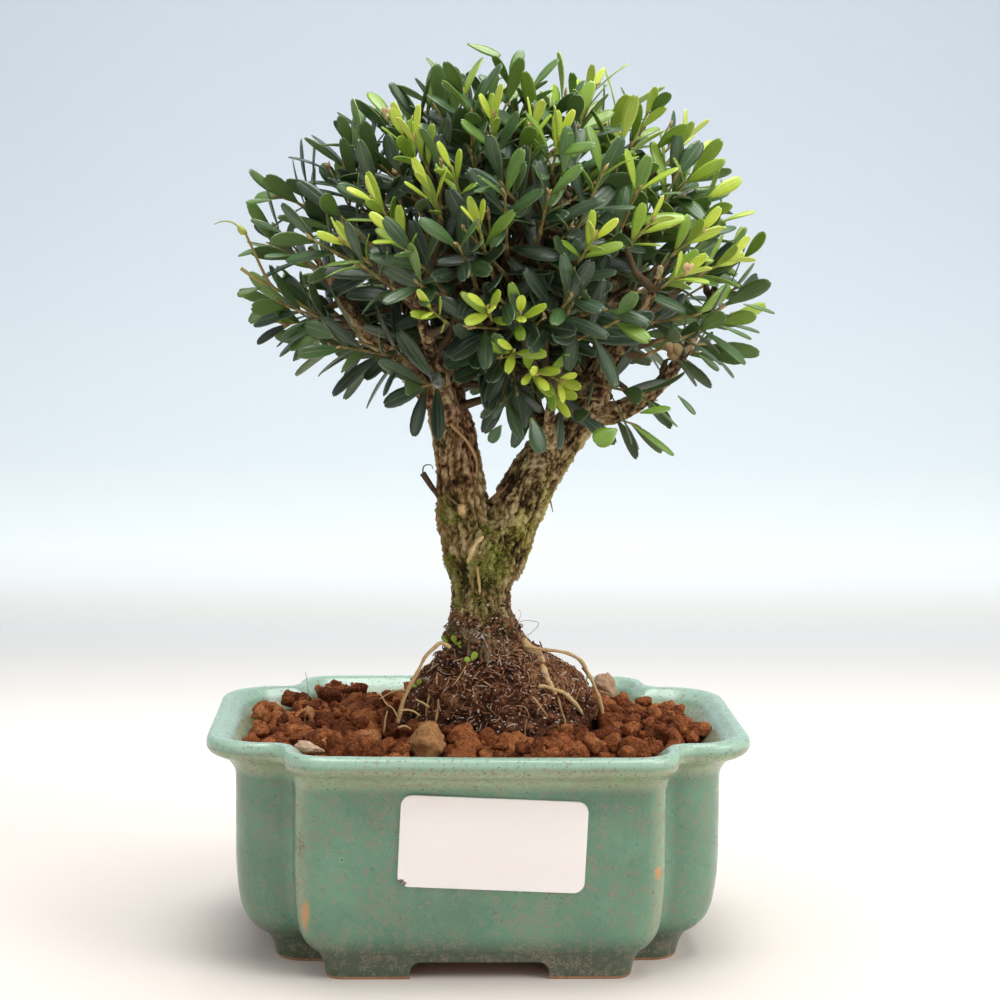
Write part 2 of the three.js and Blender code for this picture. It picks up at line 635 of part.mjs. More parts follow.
// One closed solid for a shoot: a four-sided stem, some of whose faces run out into leaves.
function shootSolid(shoot) {
  const points = [];
  const faces = [];
  const { radius } = shoot.kind;
  const heights = [0, ...shoot.nodes.flatMap((height) => [height - LEAF_BASE / 2, height + LEAF_BASE / 2])];
  heights.forEach((height) => {
    const thin = radius * (1 - (0.25 * height) / shoot.stem);
    const centre = shoot.base.clone().addScaledVector(shoot.direction, height);
    points.push(...shoot.corners.map((corner) => centre.clone().addScaledVector(corner, thin)));
  });
  for (let r = 0; r + 1 < heights.length; r += 1) {
    for (let k = 0; k < 4; k += 1) {
      const a = 4 * r + k;
      const b = 4 * r + ((k + 1) % 4);
      const leaf = shoot.leaves.find(({ pair, face }) => r === 2 * pair + 1 && face === k);
      if (leaf) addLeaf(points, faces, leaf, [a, b, b + 4, a + 4]);
      else faces.push([a, b, b + 4], [a, b + 4, a + 4]);
    }
  }
  const end = 4 * (heights.length - 1);
  faces.push([2, 1, 0], [3, 2, 0], [end, end + 1, end + 2], [end, end + 2, end + 3]);
  return solidFromTriangles(points, faces);
}

// A blade from the four corners of its foot on the stem, split alike on its upper and lower face.
function addLeaf(points, faces, leaf, [lowLeft, lowRight, highRight, highLeft]) {
  const outline = [[0.56, -0.47], [0.97, -0.25], [0.97, 0.25], [0.56, 0.47]];
  const first = points.length;
  for (const way of [-1, 1]) {
    for (const [t, across] of outline) {
      points.push(leafPoint(leaf, t, across).addScaledVector(leaf.facing, (way * LEAF_THICKNESS) / 2));
    }
  }
  const lower = [lowLeft, first, first + 1, first + 2, first + 3, lowRight];
  const upper = [highLeft, first + 4, first + 5, first + 6, first + 7, highRight];
  for (const [a, b, c] of [[0, 1, 4], [0, 4, 5], [1, 2, 3], [1, 3, 4]]) {
    faces.push([upper[a], upper[b], upper[c]], [lower[c], lower[b], lower[a]]);
  }
  for (let i = 0; i < 5; i += 1) {
    faces.push([lower[i], lower[i + 1], upper[i + 1]], [lower[i], upper[i + 1], upper[i]]);
  }
}

// A shoot fused with the forks that grow from its foot.
function sprigSolid(shoot) {
  return shoot.forks.reduce((solid, fork) => solid.add(shootSolid(fork)), shootSolid(shoot));
}

// All shoots with their twigs, forks and clear leaves.
function growCrown() {
  const branches = skeletonPieces();
  const wanted = [
    ...OLD_TIPS.map(([x, z, y]) => [tipSeenAt(x, z, y), OLD_SHOOT]),
    ...YOUNG_TIPS.map(([x, z]) => [tipSeenAt(x, z), YOUNG_SHOOT]),
    ...backTips(BACK_SHOOTS).map((tip) => [tip, OLD_SHOOT]),
  ];
  const shoots = wanted.map(([tip, kind]) => shootAt(tip, kind, branches));
  const stems = shoots.map(({ base, direction, stem, kind }, owner) => {
    const end = base.clone().addScaledVector(direction, stem);
    return { a: base, b: end, radius: kind.radius, owner, stem: true };
  });
  const pieces = [...branches, ...stems];
  shoots.forEach((shoot, owner) => {
    shoot.twig = twigTo(shoot, branches, stems.filter((stem) => stem.owner !== owner));
    const [start, middle, end] = shoot.twig;
    pieces.push({ a: start, b: middle, radius: 1.3, owner }, { a: middle, b: end, radius: 1.1, owner });
  });
  const forks = FORKS.map(([number, x, y, z]) => {
    const fork = forkFrom(shoots[number], V(x, y, z));
    shoots[number].forks.push(fork);
    return fork;
  });
  forks.forEach(({ base, direction, stem, kind }, i) => {
    const [a, b] = [3, stem].map((height) => base.clone().addScaledVector(direction, height));
    pieces.push({ a, b, radius: kind.radius, owner: shoots.length + i, stem: true });
  });
  const accepted = [];
  [...shoots, ...forks].forEach((shoot, owner) => {
    shoot.leaves = leavesOf(shoot, owner).filter((leaf) => isClear(leaf, owner, accepted, pieces));
  });
  return shoots;
}

function makeTree(shoots) {
  let wood = rootedWood(0);
  LIMBS.forEach((knots, i) => {
    wood = wood.add(tube(toPoints(knots), toRadii(knots, 0), 9, 0.14, null, 20 + i));
  });
  BRANCHES.forEach((knots, i) => {
    wood = wood.add(tube(toPoints(knots), toRadii(knots, 0), 5, 0.1, null, 40 + i));
  });
  for (const shoot of shoots) wood = wood.add(tube(shoot.twig, [1.6, 1.3, 1.1], 3, 0, shoot.direction));
  return wood;
}

// Assembly
const tree = new THREE.Group();

function place(name, geometry, colour, roughness = 0.8) {
  const material = new THREE.MeshStandardMaterial({ color: colour, roughness, metalness: 0 });
  const mesh = new THREE.Mesh(geometry, material);
  mesh.name = name;
  tree.add(mesh);
  return mesh;
}

const shoots = growCrown();
const wood = makeTree(shoots);
const woodRoom = rootedWood(GAP);
const mound = largestBody(makeMound(0).subtract(woodRoom));
let soil = potInside(-GAP, POT_HEIGHT).intersect(crumbField());
soil = soil.subtract(makeMound(GAP)).subtract(woodRoom);
for (const x of [-DRAIN_X, DRAIN_X]) {
  const half = SCREEN_SIDE / 2 + GAP;
  const box = new THREE.BoxGeometry(2 * half, 2 * half, 2 * (SCREEN_THICKNESS + 2 * GAP));
  box.translate(x, 0, FLOOR_TOP);
  soil = soil.subtract(solidFromGeometry(box));
}
STONES.forEach((stone, i) => {
  soil = soil.subtract(makeStone(stone, i, STONE_GAP));
});

place('pot', geometryFromSolid(makePot()), 0x5f9c84, 0.35);
for (const [side, x] of [['left', -DRAIN_X], ['right', DRAIN_X]]) {
  const screen = place(`drain_screen_${side}`, screenGeometry(), 0x23332c, 0.6);
  screen.position.set(x, 0, FLOOR_TOP + GAP + SCREEN_THICKNESS / 2);
}
const label = place('label', labelGeometry(), 0xf4f1f0, 0.7);
label.rotation.set(Math.PI / 2, 0, 0);
label.rotateZ(THREE.MathUtils.degToRad(LABEL.tilt));
label.position.set(LABEL.x, -WALL.depth - GAP, LABEL.z);
place('soil', geometryFromSolid(largestBody(soil)), 0x7a4428, 0.95);
STONES.forEach((stone, i) => place(stone.name, geometryFromSolid(makeStone(stone, i, 0)), stone.colour, 0.9));
place('root_ball', geometryFromSolid(mound), 0x3a2418, 0.95);
place('trunk', geometryFromSolid(wood), 0x6f5636, 0.9);
for (const [kind, name, colour, roughness] of [
  [OLD_SHOOT, 'leafy_shoot', 0x2f5f38, 0.4],
  [YOUNG_SHOOT, 'young_shoot', 0x9dc23a, 0.5],
]) {
  shoots.filter((shoot) => shoot.kind === kind).forEach((shoot, i) => {
    const number = String(i + 1).padStart(2, '0');
    place(`${name}_${number}`, geometryFromSolid(sprigSolid(shoot)), colour, roughness);
  });
}

// The origin is under the middle of the whole part.
const box = new THREE.Box3().setFromObject(tree);
const centred = new THREE.Group();
tree.position.set(-(box.min.x + box.max.x) / 2, -(box.min.y + box.max.y) / 2, 0);
centred.add(tree);
export default centred;
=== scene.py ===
"""A harland boxwood bonsai in its glazed mokko pot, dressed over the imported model.

Lengths are millimetres about the middle of the pot, with +Z up and the front of the pot towards -Y,
and meshes turn them into the frame's metres. A place "seen at x, z" is the first point behind that
point of the plane y = 0, as the camera looks at it.
"""

import itertools
import math

import bpy
import bmesh
import numpy as np
from mathutils import Matrix, Vector
from mathutils.bvhtree import BVHTree


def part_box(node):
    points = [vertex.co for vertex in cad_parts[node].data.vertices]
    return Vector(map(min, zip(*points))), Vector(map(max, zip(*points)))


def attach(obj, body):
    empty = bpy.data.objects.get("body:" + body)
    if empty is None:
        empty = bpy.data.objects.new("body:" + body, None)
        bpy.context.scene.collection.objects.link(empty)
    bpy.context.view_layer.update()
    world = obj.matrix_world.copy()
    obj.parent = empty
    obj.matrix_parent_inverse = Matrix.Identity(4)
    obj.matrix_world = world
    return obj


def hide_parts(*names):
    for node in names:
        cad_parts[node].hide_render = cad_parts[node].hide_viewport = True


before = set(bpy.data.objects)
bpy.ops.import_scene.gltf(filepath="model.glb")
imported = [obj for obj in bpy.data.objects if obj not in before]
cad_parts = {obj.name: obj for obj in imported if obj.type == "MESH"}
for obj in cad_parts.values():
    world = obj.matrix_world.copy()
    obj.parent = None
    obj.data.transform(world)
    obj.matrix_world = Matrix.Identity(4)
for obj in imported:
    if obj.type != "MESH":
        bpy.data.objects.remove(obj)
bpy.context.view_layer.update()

# Frame
MM = 0.001
pot_low, pot_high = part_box("pot")
MIDDLE = np.array([(pot_low.x + pot_high.x) / 2, (pot_low.y + pot_high.y) / 2, 0.0]) / MM
BODY = "root"
UP = np.array([0.0, 0.0, 1.0])

# Camera, in front of the pot and a little to its left
EYE = np.array([-20.0, -618.2, 194.9])
CAMERA_TURN = 2.41
CAMERA_DOWN = 6.44
CAMERA_ROLL = 0.65
CAMERA_LENS = 78.86
SENSOR = 36.0

# Pot: the plan at one height has a long lobe to each side and a deep one front and back. Each row holds
# the half length and depth of the two lobes, the half width of the long and of the deep one, the corner
# radii of both and the radius of the cove between them.
RIM = np.array([75, 57.9, 40.5, 52.8, 15, 11, 6])
WALL = np.array([67.4, 49.1, 33.5, 50.2, 13, 7.5, 4])
FOOT = np.array([56, 45.7, 30, 41.5, 8, 5, 4])
INSIDE = np.array([61.4, 43.1, 28, 44, 12, 4, 4])
FLOOR = np.array([51, 36, 23.5, 37.5, 8, 4, 4])
RECESS = np.array([49, 38.5, 23, 34.5, 7, 4, 4])
GROWN = np.array([1, 1, 1, 1, 0, 0, 0])
UNDERSIDE = 4.9
FLOOR_TOP = 10.0
FOOT_GAP_FRONT = 18.8
FOOT_GAP_SIDE = 10.5
DRAIN_RADIUS = 6.5
DRAIN_X = 27.0
LABEL = {"width": 50.0, "height": 25.0, "corner": 3.0, "x": 3.1, "z": 38.4, "tilt": -2.3}

# Planting
SOIL_LEVEL = 57.5
GRAINS = 1400
CLAY_BITS = 260
FELT_FIBRES = 2600
# Each row of the root ball is z, its middle x and its two half sizes
MOUND = [
    (48, 6, 27, 20), (58, 6, 29.5, 22), (66, 6.5, 27, 20), (74.5, 7, 22.5, 17), (82, 4.5, 13.5, 12.5),
    (88, 2, 6, 6),
]

# Wood: each knot is x, y, z and the radius there
STEM = [
    (4, 2, 50, 12), (3.6, 2, 66, 13), (2.8, 1, 77, 12.6), (1.8, 0.5, 85, 11), (1, 0, 94, 8.9),
    (1.2, 0, 102, 9), (2.4, 0, 109.5, 10.6), (2.8, 0, 115.5, 9.4), (2.8, 0, 120, 5),
]
LIMBS = [
    [(-0.5, 0, 104, 8.2), (-3.8, 0, 119, 8.2), (-5.6, -0.5, 132, 6.7), (-7.2, -0.5, 144, 6.5),
     (-10.5, 0, 156, 5.8)],
    [(4.5, 0, 105, 8), (9.8, 0, 120, 8), (16.6, 0, 134, 7.2), (24, 0, 143.6, 6.2), (31, 0, 152.5, 5.2),
     (34.6, 0, 166, 4)],
]
BRANCHES = [
    [(-9, 0, 149, 4), (-23, -4, 165, 3.4), (-34, -6, 174.5, 2.9), (-41, -6, 185, 2.3), (-48, -5, 196, 1.6)],
    [(-10.5, 1, 153, 4.6), (-16, 4, 168, 3.6), (-23, 6, 186, 2.8), (-29, 4, 206, 1.6)],
    [(-8, -2, 147, 3.8), (-12, -15, 162, 3), (-17, -28, 178, 2.2), (-19, -34, 189, 1.6)],
    [(-9, 2, 150, 3.8), (-14, 17, 165, 3), (-21, 30, 181, 2.2), (-26, 35, 193, 1.6)],
    [(-10, 0, 154, 4.4), (-5, 1, 172, 3.6), (-3, -1, 192, 2.8), (-6, -3, 215, 1.6)],
    [(-5, 0, 166, 3), (3, -9, 184, 2.6), (12, -17, 199, 2.2), (23, -22, 210, 1.6)],
    [(28, 0, 148.5, 4.2), (41, -2, 151.5, 3.5), (52, -3, 160, 2.9), (61, -2, 174, 2.2), (66, -2, 187, 1.6)],
    [(34.6, 0, 163, 3.9), (36, 2, 182, 3), (40, 3, 200, 2.3), (44, 2, 214, 1.6)],
    [(32, -2, 156, 3.4), (38, -17, 169, 2.7), (44, -28, 182, 2.1), (47, -32, 192, 1.6)],
    [(32, 2, 157, 3.4), (39, 18, 171, 2.7), (46, 30, 184, 2.1), (49, 34, 194, 1.6)],
    [(30, 0, 151, 4), (24, 2, 170, 3.2), (19, 1, 192, 2.5), (20, 0, 216, 1.6)],
    [(20, 3, 138, 3.6), (15, 20, 156, 2.8), (11, 34, 174, 2.1), (10, 38, 188, 1.6)],
    [(20, -3, 138, 3.4), (19, -16, 147, 2.6), (18, -28, 157, 1.7)],
]

# Crown: the reach of the leaf tips round its centre
CROWN_CENTRE = np.array([8.5, 0.0, 188.0])
CROWN_X, CROWN_Y, CROWN_UP, CROWN_DOWN = 77.0, 62.0, 66.0, 46.0
OLD_SHOOT = {
    "stem": 21, "radius": 0.85, "reach": 34, "pairs": 3, "leaf": 18, "width": 6.4, "spread": 56, "close": 26,
}
YOUNG_SHOOT = {
    "stem": 11, "radius": 0.7, "reach": 24, "pairs": 2, "leaf": 14, "width": 5, "spread": 34, "close": 13,
}
FORK_SHOOT = {
    "stem": 21, "radius": 0.8, "reach": 34, "pairs": 2, "leaf": 18, "width": 6.4, "spread": 56, "close": 26,
}
FORK_FOOT = 1.6
FORK_LEAD = 12
FORK_LEAFY = 12
INNER_SHOOT = {
    "stem": 18, "radius": 0.7, "reach": 26, "pairs": 3, "leaf": 16.5, "width": 6.2, "spread": 62, "close": 30,
}
LEAF_CLEARANCE = 3.1
WOOD_CLEARANCE = 1.5
STEM_CLEARANCE = 1.8
FILL_CLEARANCE = 1.15
FILL_WOOD_CLEARANCE = 0.5
TWIG_GAP = 0.3
DIAGONAL = 0.70710678
YOUNG_TIPS = [
    (-38, 219), (-20, 223), (-28, 240), (-12, 230), (2, 245), (24, 240), (-20, 183), (0, 184),
    (10, 169), (19, 159), (37, 208), (56, 213), (82, 201), (64, 238), (68, 196), (33, 252),
]
OLD_TIPS = [
    (-68, 184), (-69, 203), (-62, 217), (-51, 170), (-27, 154), (-43, 198), (-26, 202), (-10, 205),
    (6, 222), (21, 222), (39, 229), (30, 188), (47, 180), (59, 153, -24), (82, 180), (36, 143, -30),
    (6, 145), (-8, 251),
]
BACK_SHOOTS = 15

# Forks into the gaps between the tips: the number of the shoot that each grows from, counted from 0
# through the old, young and back shoots, and the place of the fork's own tip
FORKS = [
    (2, (-36, -8, 235)), (38, (60, -20, 221)), (42, (74, 1, 193)), (35, (2, 11, 245)), (17, (12, -8, 247)),
    (17, (-20, 1, 245)),
]
MORE_YOUNG_TIPS = [
    (15, 243), (12, 182), (28, 157), (72, 209), (52, 246), (-3, 212), (27, 150), (-32, 209), (-48, 205),
    (-24, 238),
]
EDGE_SHOOT = {
    "stem": 15, "radius": 0.6, "reach": 26, "pairs": 2, "leaf": 15.5, "width": 5.6, "spread": 54, "close": 24,
}
EDGE_TIPS = [
    (-5.5, 252.8), (7.2, 253), (24.8, 249.4), (34.7, 252.2), (42, 246), (52.3, 244.7), (62.7, 238.7),
    (66.9, 226.8), (75.9, 211.4), (84.4, 200), (82.3, 190), (80.6, 180.8), (71.1, 168.3), (59.5, 151.6),
    (54.3, 142.4), (-31.3, 240.1), (-22, 242.3), (-14.4, 243.9), (-42.5, 232.3), (-57.6, 220.7),
    (-64.4, 216.8), (-66.6, 207.5), (-68.7, 183.9), (-64.6, 177.1), (-52.7, 169.7), (14, 252), (-37, 236),
    (58, 240), (72, 219), (-50, 226),
]
# Windows between the leaves as seen from the front, each x and z with its reach
WINDOWS = [
    (15.0, 201.0, 8.5), (33.2, 161.0, 8.0), (54.0, 160.0, 7.0), (-24.3, 167.5, 5.5), (-11.6, 157.5, 7.0),
    (-49.5, 189.5, 4.5), (19.0, 170.0, 5.0), (63.0, 176.0, 6.0), (40.0, 176.0, 5.0),
]
# Shoots that scene.py adds near the outside and further in
OUTER_FILL = 170
INNER_FILL = 120
# How long and how wide the visible leaves are beside the plain ones
OLD_FIT = (0.98, 0.76)
YOUNG_FIT = (0.84, 0.62)


# Random numbers, noise and vectors
def mulberry32(seed):
    state = seed & 0xFFFFFFFF

    def draw():
        nonlocal state
        state = (state + 0x6D2B79F5) & 0xFFFFFFFF
        t = state
        t = ((t ^ (t >> 15)) * (t | 1)) & 0xFFFFFFFF
        t ^= (t + (((t ^ (t >> 7)) * (t | 61)) & 0xFFFFFFFF)) & 0xFFFFFFFF
        return ((t ^ (t >> 14)) & 0xFFFFFFFF) / 4294967296

    return draw


def toss(draw):
    """Three numbers from -0.5 to 0.5."""
    return np.array([draw() - 0.5, draw() - 0.5, draw() - 0.5])


def unit(vector):
    return vector / math.sqrt(float(vector @ vector))


def cross(a, b):
    return np.array([a[1] * b[2] - a[2] * b[1], a[2] * b[0] - a[0] * b[2], a[0] * b[1] - a[1] * b[0]])


def smoothstep(value, low, high):
    t = np.clip((value - low) / (high - low), 0, 1)
    return t * t * (3 - 2 * t)


def scattered(cell, seed):
    """A number from -1 to 1 for each cell of a grid."""
    key = (cell[:, 0] * 73856093) ^ (cell[:, 1] * 19349663) ^ (cell[:, 2] * 83492791) ^ (seed * 26544357)
    key = (key & 0xFFFFFFFF) * 2246822519 & 0xFFFFFFFF
    key = (key ^ (key >> 13)) * 3266489917 & 0xFFFFFFFF
    key ^= key >> 16
    return key / 2147483648 - 1


def smooth_noise(points, seed):
    """Value noise from -1 to 1 with cells one unit wide."""
    cell = np.floor(points).astype(np.int64)
    local = points - cell
    fade = local * local * local * (local * (local * 6 - 15) + 10)
    total = np.zeros(len(points))
    for corner in itertools.product((0, 1), repeat=3):
        weight = np.prod(np.where(corner, fade, 1 - fade), axis=1)
        total += weight * scattered(cell + np.array(corner), seed)
    return total


def border_of_cells(points, seed):
    """How far each point is from the border of its scattered cell, in cells about one unit wide."""
    cell = np.floor(points).astype(np.int64)
    nearest = np.full(len(points), 9.0)
    second = np.full(len(points), 9.0)
    for offset in itertools.product((-1, 0, 1), repeat=3):
        at = cell + np.array(offset)
        seat = at + 0.5 + 0.45 * np.column_stack([scattered(at, seed + k) for k in range(3)])
        away = np.linalg.norm(points - seat, axis=1)
        second = np.minimum(second, np.maximum(nearest, away))
        nearest = np.minimum(nearest, away)
    return second - nearest


def fractal(points, size, octaves, seed):
    """Layers of noise, the widest with features about size long."""
    total = np.zeros(len(points))
    for octave in range(octaves):
        total += smooth_noise(points * 2 ** octave / size, seed + octave) / 2 ** octave
    return total


def smoothed(knots, steps):
    """Catmull-Rom points, with the same number of steps between each pair of knots."""
    knots = np.asarray(knots, float)
    padded = np.vstack([knots[:1], knots, knots[-1:]])
    result = []
    for i in range(len(knots) - 1):
        a, b, d, e = padded[i:i + 4]
        for s in range(steps):
            t = s / steps
            bent = 2 * a - 5 * b + 4 * d - e
            turned = 3 * b - a - 3 * d + e
            result.append(b + 0.5 * t * (d - a + t * (bent + t * turned)))
    result.append(knots[-1])
    return np.array(result)


# Meshes
class Shape:
    """Points and faces that grow part by part, with a number per point for each mark."""

    def __init__(self):
        self.points = []
        self.faces = []
        self.flat = []
        self.marks = {}
        self.count = 0

    def add(self, points, faces, flat=(), **marks):
        base = self.count
        self.points.append(np.asarray(points, float))
        self.faces.extend([tuple(i + base for i in face) for face in faces])
        is_flat = set(flat)
        self.flat.extend([k in is_flat for k in range(len(faces))])
        for name, values in marks.items():
            values = np.broadcast_to(np.asarray(values, float), len(points))
            self.marks.setdefault(name, []).append(values)
        self.count += len(points)


def mesh_from(name, points, faces):
    mesh = bpy.data.meshes.new(name)
    mesh.from_pydata(((np.asarray(points) + MIDDLE) * MM).tolist(), [], faces)
    mesh.update()
    return mesh


def add_object(name, mesh):
    piece = bpy.data.objects.new(name, mesh)
    bpy.context.scene.collection.objects.link(piece)
    return piece


def dress(piece, material, slot, replaced=()):
    """The finish of a piece, its body and the nodes that it stands for. The slot is not used."""
    piece.data.materials.clear()
    piece.data.materials.append(material)
    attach(piece, BODY)
    if replaced:
        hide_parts(*replaced)
    return piece


def add_piece(name, shape, material, slot, replaced=(), smooth=True):
    mesh = mesh_from(name, np.vstack(shape.points), shape.faces)
    mesh.polygons.foreach_set("use_smooth", [smooth and not flat for flat in shape.flat])
    for mark, values in shape.marks.items():
        attribute = mesh.attributes.new(mark, "FLOAT", "POINT")
        attribute.data.foreach_set("value", np.concatenate(values))
    return dress(add_object(name, mesh), material, slot, replaced)


def with_modifiers(name, piece):
    """A new mesh with the piece's modifiers applied; the piece itself is removed."""
    bpy.context.view_layer.update()
    evaluated = piece.evaluated_get(bpy.context.evaluated_depsgraph_get())
    mesh = bpy.data.meshes.new_from_object(evaluated)
    mesh.name = name
    bpy.data.objects.remove(piece)
    return mesh


def positions(mesh):
    """The mesh's points in millimetres about the pot."""
    flat = np.zeros(len(mesh.vertices) * 3)
    mesh.vertices.foreach_get("co", flat)
    return flat.reshape(-1, 3) / MM - MIDDLE


def normals(mesh):
    flat = np.zeros(len(mesh.vertices) * 3)
    mesh.vertices.foreach_get("normal", flat)
    return flat.reshape(-1, 3)


def move_points(mesh, points):
    mesh.vertices.foreach_set("co", ((points + MIDDLE) * MM).ravel())
    mesh.update()


def shade_smooth(mesh):
    mesh.polygons.foreach_set("use_smooth", [True] * len(mesh.polygons))


def mark_points(mesh, name, values):
    mesh.attributes.new(name, "FLOAT", "POINT").data.foreach_set("value", values)


def surface_of(mesh):
    return BVHTree.FromPolygons(positions(mesh).tolist(), [tuple(p.vertices) for p in mesh.polygons])


def ring_faces(rings, count):
    return [
        (r * count + i, r * count + (i + 1) % count, (r + 1) * count + (i + 1) % count, (r + 1) * count + i)
        for r in range(rings - 1) for i in range(count)
    ]


def loft(rings):
    """Points and faces of a closed skin through rings that turn anticlockwise, from the bottom up."""
    count = len(rings[0])
    points = np.vstack([*rings, rings[0].mean(0)[None], rings[-1].mean(0)[None]])
    faces = ring_faces(len(rings), count)
    low, high = len(points) - 2, len(points) - 1
    last = (len(rings) - 1) * count
    for i in range(count):
        j = (i + 1) % count
        faces.append((j, i, low))
        faces.append((last + i, last + j, high))
    return points, faces


def tube(line, radii, sides):
    """A closed tube along a line, with a radius at each point."""
    line = np.asarray(line, float)
    tangents = np.gradient(line, axis=0)
    normal = np.array([1.0, 0, 0]) if abs(unit(tangents[0])[2]) > 0.9 else UP
    angles = np.arange(sides) * 2 * math.pi / sides
    rings = []
    for point, tangent, radius in zip(line, tangents, radii):
        tangent = unit(tangent)
        normal = unit(normal - tangent * (normal @ tangent))
        side = cross(tangent, normal)
        across = np.outer(np.cos(angles), normal) + np.outer(np.sin(angles), side)
        rings.append(point + across * radius)
    return loft(rings)


SPHERES = {}


def sphere(level):
    if level not in SPHERES:
        ball = bmesh.new()
        bmesh.ops.create_icosphere(ball, subdivisions=level, radius=1)
        points = np.array([v.co for v in ball.verts])
        SPHERES[level] = (points, [tuple(v.index for v in f.verts) for f in ball.faces])
        ball.free()
    return SPHERES[level]


def lump(centre, size, level, draw, planes=11, rough=0.08, deepest=0.66):
    """A broken crumb: a ball cut back by planes, with some roughness and its own turn."""
    directions, faces = sphere(level)
    reach = np.full(len(directions), 1.12)
    for _ in range(planes):
        normal = unit(toss(draw) + 1e-6)
        facing = directions @ normal
        cut = (deepest + (0.97 - deepest) * draw()) / np.maximum(facing, 0.05)
        reach = np.minimum(reach, cut)
    reach *= 1 + rough * fractal(directions * 2.1 + draw() * 50, 1.0, 4, 5)
    shape = directions * reach[:, None]
    turn = Matrix.Rotation(draw() * 2 * math.pi, 3, "Z") @ Matrix.Rotation(draw() * 2 - 1, 3, "X")
    return (shape * size) @ np.array(turn).T + centre, faces


# Shaders
class Shader:
    """A material whose nodes are made one after another. Values are sockets or plain numbers."""

    def __init__(self, name, **settings):
        self.material = bpy.data.materials.new(name)
        self.material.use_nodes = True
        self.tree = self.material.node_tree
        self.bsdf = self.tree.nodes["Principled BSDF"]
        self.place = self.add("ShaderNodeTexCoord").outputs["Object"]
        for key, value in settings.items():
            self.set(key.replace("_", " "), value)

    def set(self, key, value):
        self.connect(self.bsdf.inputs[key], value)

    def connect(self, socket, value):
        if isinstance(value, bpy.types.NodeSocket):
            self.tree.links.new(value, socket)
        elif isinstance(value, tuple) and len(value) == 3 and socket.type == "RGBA":
            socket.default_value = (*value, 1)
        else:
            socket.default_value = value

    def add(self, kind, inputs=None, **settings):
        node = self.tree.nodes.new(kind)
        for key, value in settings.items():
            setattr(node, key, value)
        for key, value in (inputs or {}).items():
            self.connect(node.inputs[key], value)
        return node

    def math(self, operation, a, b=0.0):
        return self.add("ShaderNodeMath", {0: a, 1: b}, operation=operation).outputs[0]

    def plus(self, a, b):
        return self.math("ADD", a, b)

    def minus(self, a, b):
        return self.math("SUBTRACT", a, b)

    def times(self, a, b):
        return self.math("MULTIPLY", a, b)

    def mix(self, factor, a, b):
        node = self.add("ShaderNodeMix", data_type="RGBA")
        for key, value in ((0, factor), (6, a), (7, b)):
            self.connect(node.inputs[key], value)
        return node.outputs[2]

    def noise(self, size, detail=4.0, roughness=0.55, stretch=None):
        """Noise whose features are about size millimetres wide, longer along Z where it is stretched."""
        place = self.place
        if stretch:
            place = self.add("ShaderNodeMapping", {"Vector": place, "Scale": (1, 1, 1 / stretch)}).outputs[0]
        inputs = {"Vector": place, "Scale": 1 / (size * MM), "Detail": detail, "Roughness": roughness}
        return self.add("ShaderNodeTexNoise", inputs).outputs["Fac"]

    def cells(self, size):
        inputs = {"Vector": self.place, "Scale": 1 / (size * MM)}
        return self.add("ShaderNodeTexVoronoi", inputs).outputs["Distance"]

    def mark(self, name):
        return self.add("ShaderNodeAttribute", attribute_name=name).outputs["Fac"]

    def coordinate(self, axis):
        return self.add("ShaderNodeSeparateXYZ", {0: self.place}).outputs[axis]

    def away_from(self, x, z):
        """How far the surface is from a place of the front wall, in metres."""
        aside = self.minus(self.coordinate("X"), (x + MIDDLE[0]) * MM)
        above = self.minus(self.coordinate("Z"), z * MM)
        squares = self.plus(self.times(aside, aside), self.times(above, above))
        return self.math("SQRT", squares)

    def steps(self, value, low, high, start=0.0, end=1.0):
        """start below low, end above high and a smooth change between them."""
        inputs = {"Value": value, "From Min": low, "From Max": high, "To Min": start, "To Max": end}
        node = self.add("ShaderNodeMapRange", inputs, interpolation_type="SMOOTHSTEP")
        return node.outputs[0]

    def ramp(self, value, *stops):
        node = self.add("ShaderNodeValToRGB", {0: value})
        elements = node.color_ramp.elements
        while len(elements) < len(stops):
            elements.new(0.5)
        for element, (place, colour) in zip(elements, stops):
            element.position = place
            element.color = (*colour, 1)
        return node.outputs[0]

    def bump(self, height, distance, strength=1.0):
        inputs = {"Height": height, "Distance": distance * MM, "Strength": strength}
        return self.add("ShaderNodeBump", inputs).outputs[0]


def rgb(red, green, blue):
    """A colour from 0 to 255 as a screen shows it, made linear."""
    return tuple(
        c / 12.92 if c <= 0.04045 else ((c + 0.055) / 1.055) ** 2.4
        for c in (red / 255, green / 255, blue / 255)
    )


# Pot
def arc(cx, cy, radius, start, end, steps):
    angle = np.radians(np.linspace(start, end, steps + 1))
    return np.column_stack([cx + radius * np.cos(angle), cy + radius * np.sin(angle)])


def plan(station, z):
    """One ring of the pot at a height, with points along its straight sides too."""
    length, depth, shoulder, lobe, side_corner, front_corner, cove = station
    side = np.linspace((length, 0), (length, shoulder - side_corner), 7)[:-1]
    front = np.linspace((lobe - front_corner, depth), (0, depth), 15)[1:]
    quarter = np.vstack([
        side,
        arc(length - side_corner, shoulder - side_corner, side_corner, 0, 90, 9),
        arc(lobe + cove, shoulder + cove, cove, 270, 180, 6),
        arc(lobe - front_corner, depth - front_corner, front_corner, 0, 90, 6),
        front,
    ])
    back = quarter[::-1]
    flat = np.vstack([
        quarter[:-1], (back * (-1, 1))[:-1], (quarter * (-1, -1))[:-1], (back * (1, -1))[:-1],
    ])
    return np.column_stack([flat, np.full(len(flat), z)])


def blend(a, b, t):
    return a + (b - a) * t


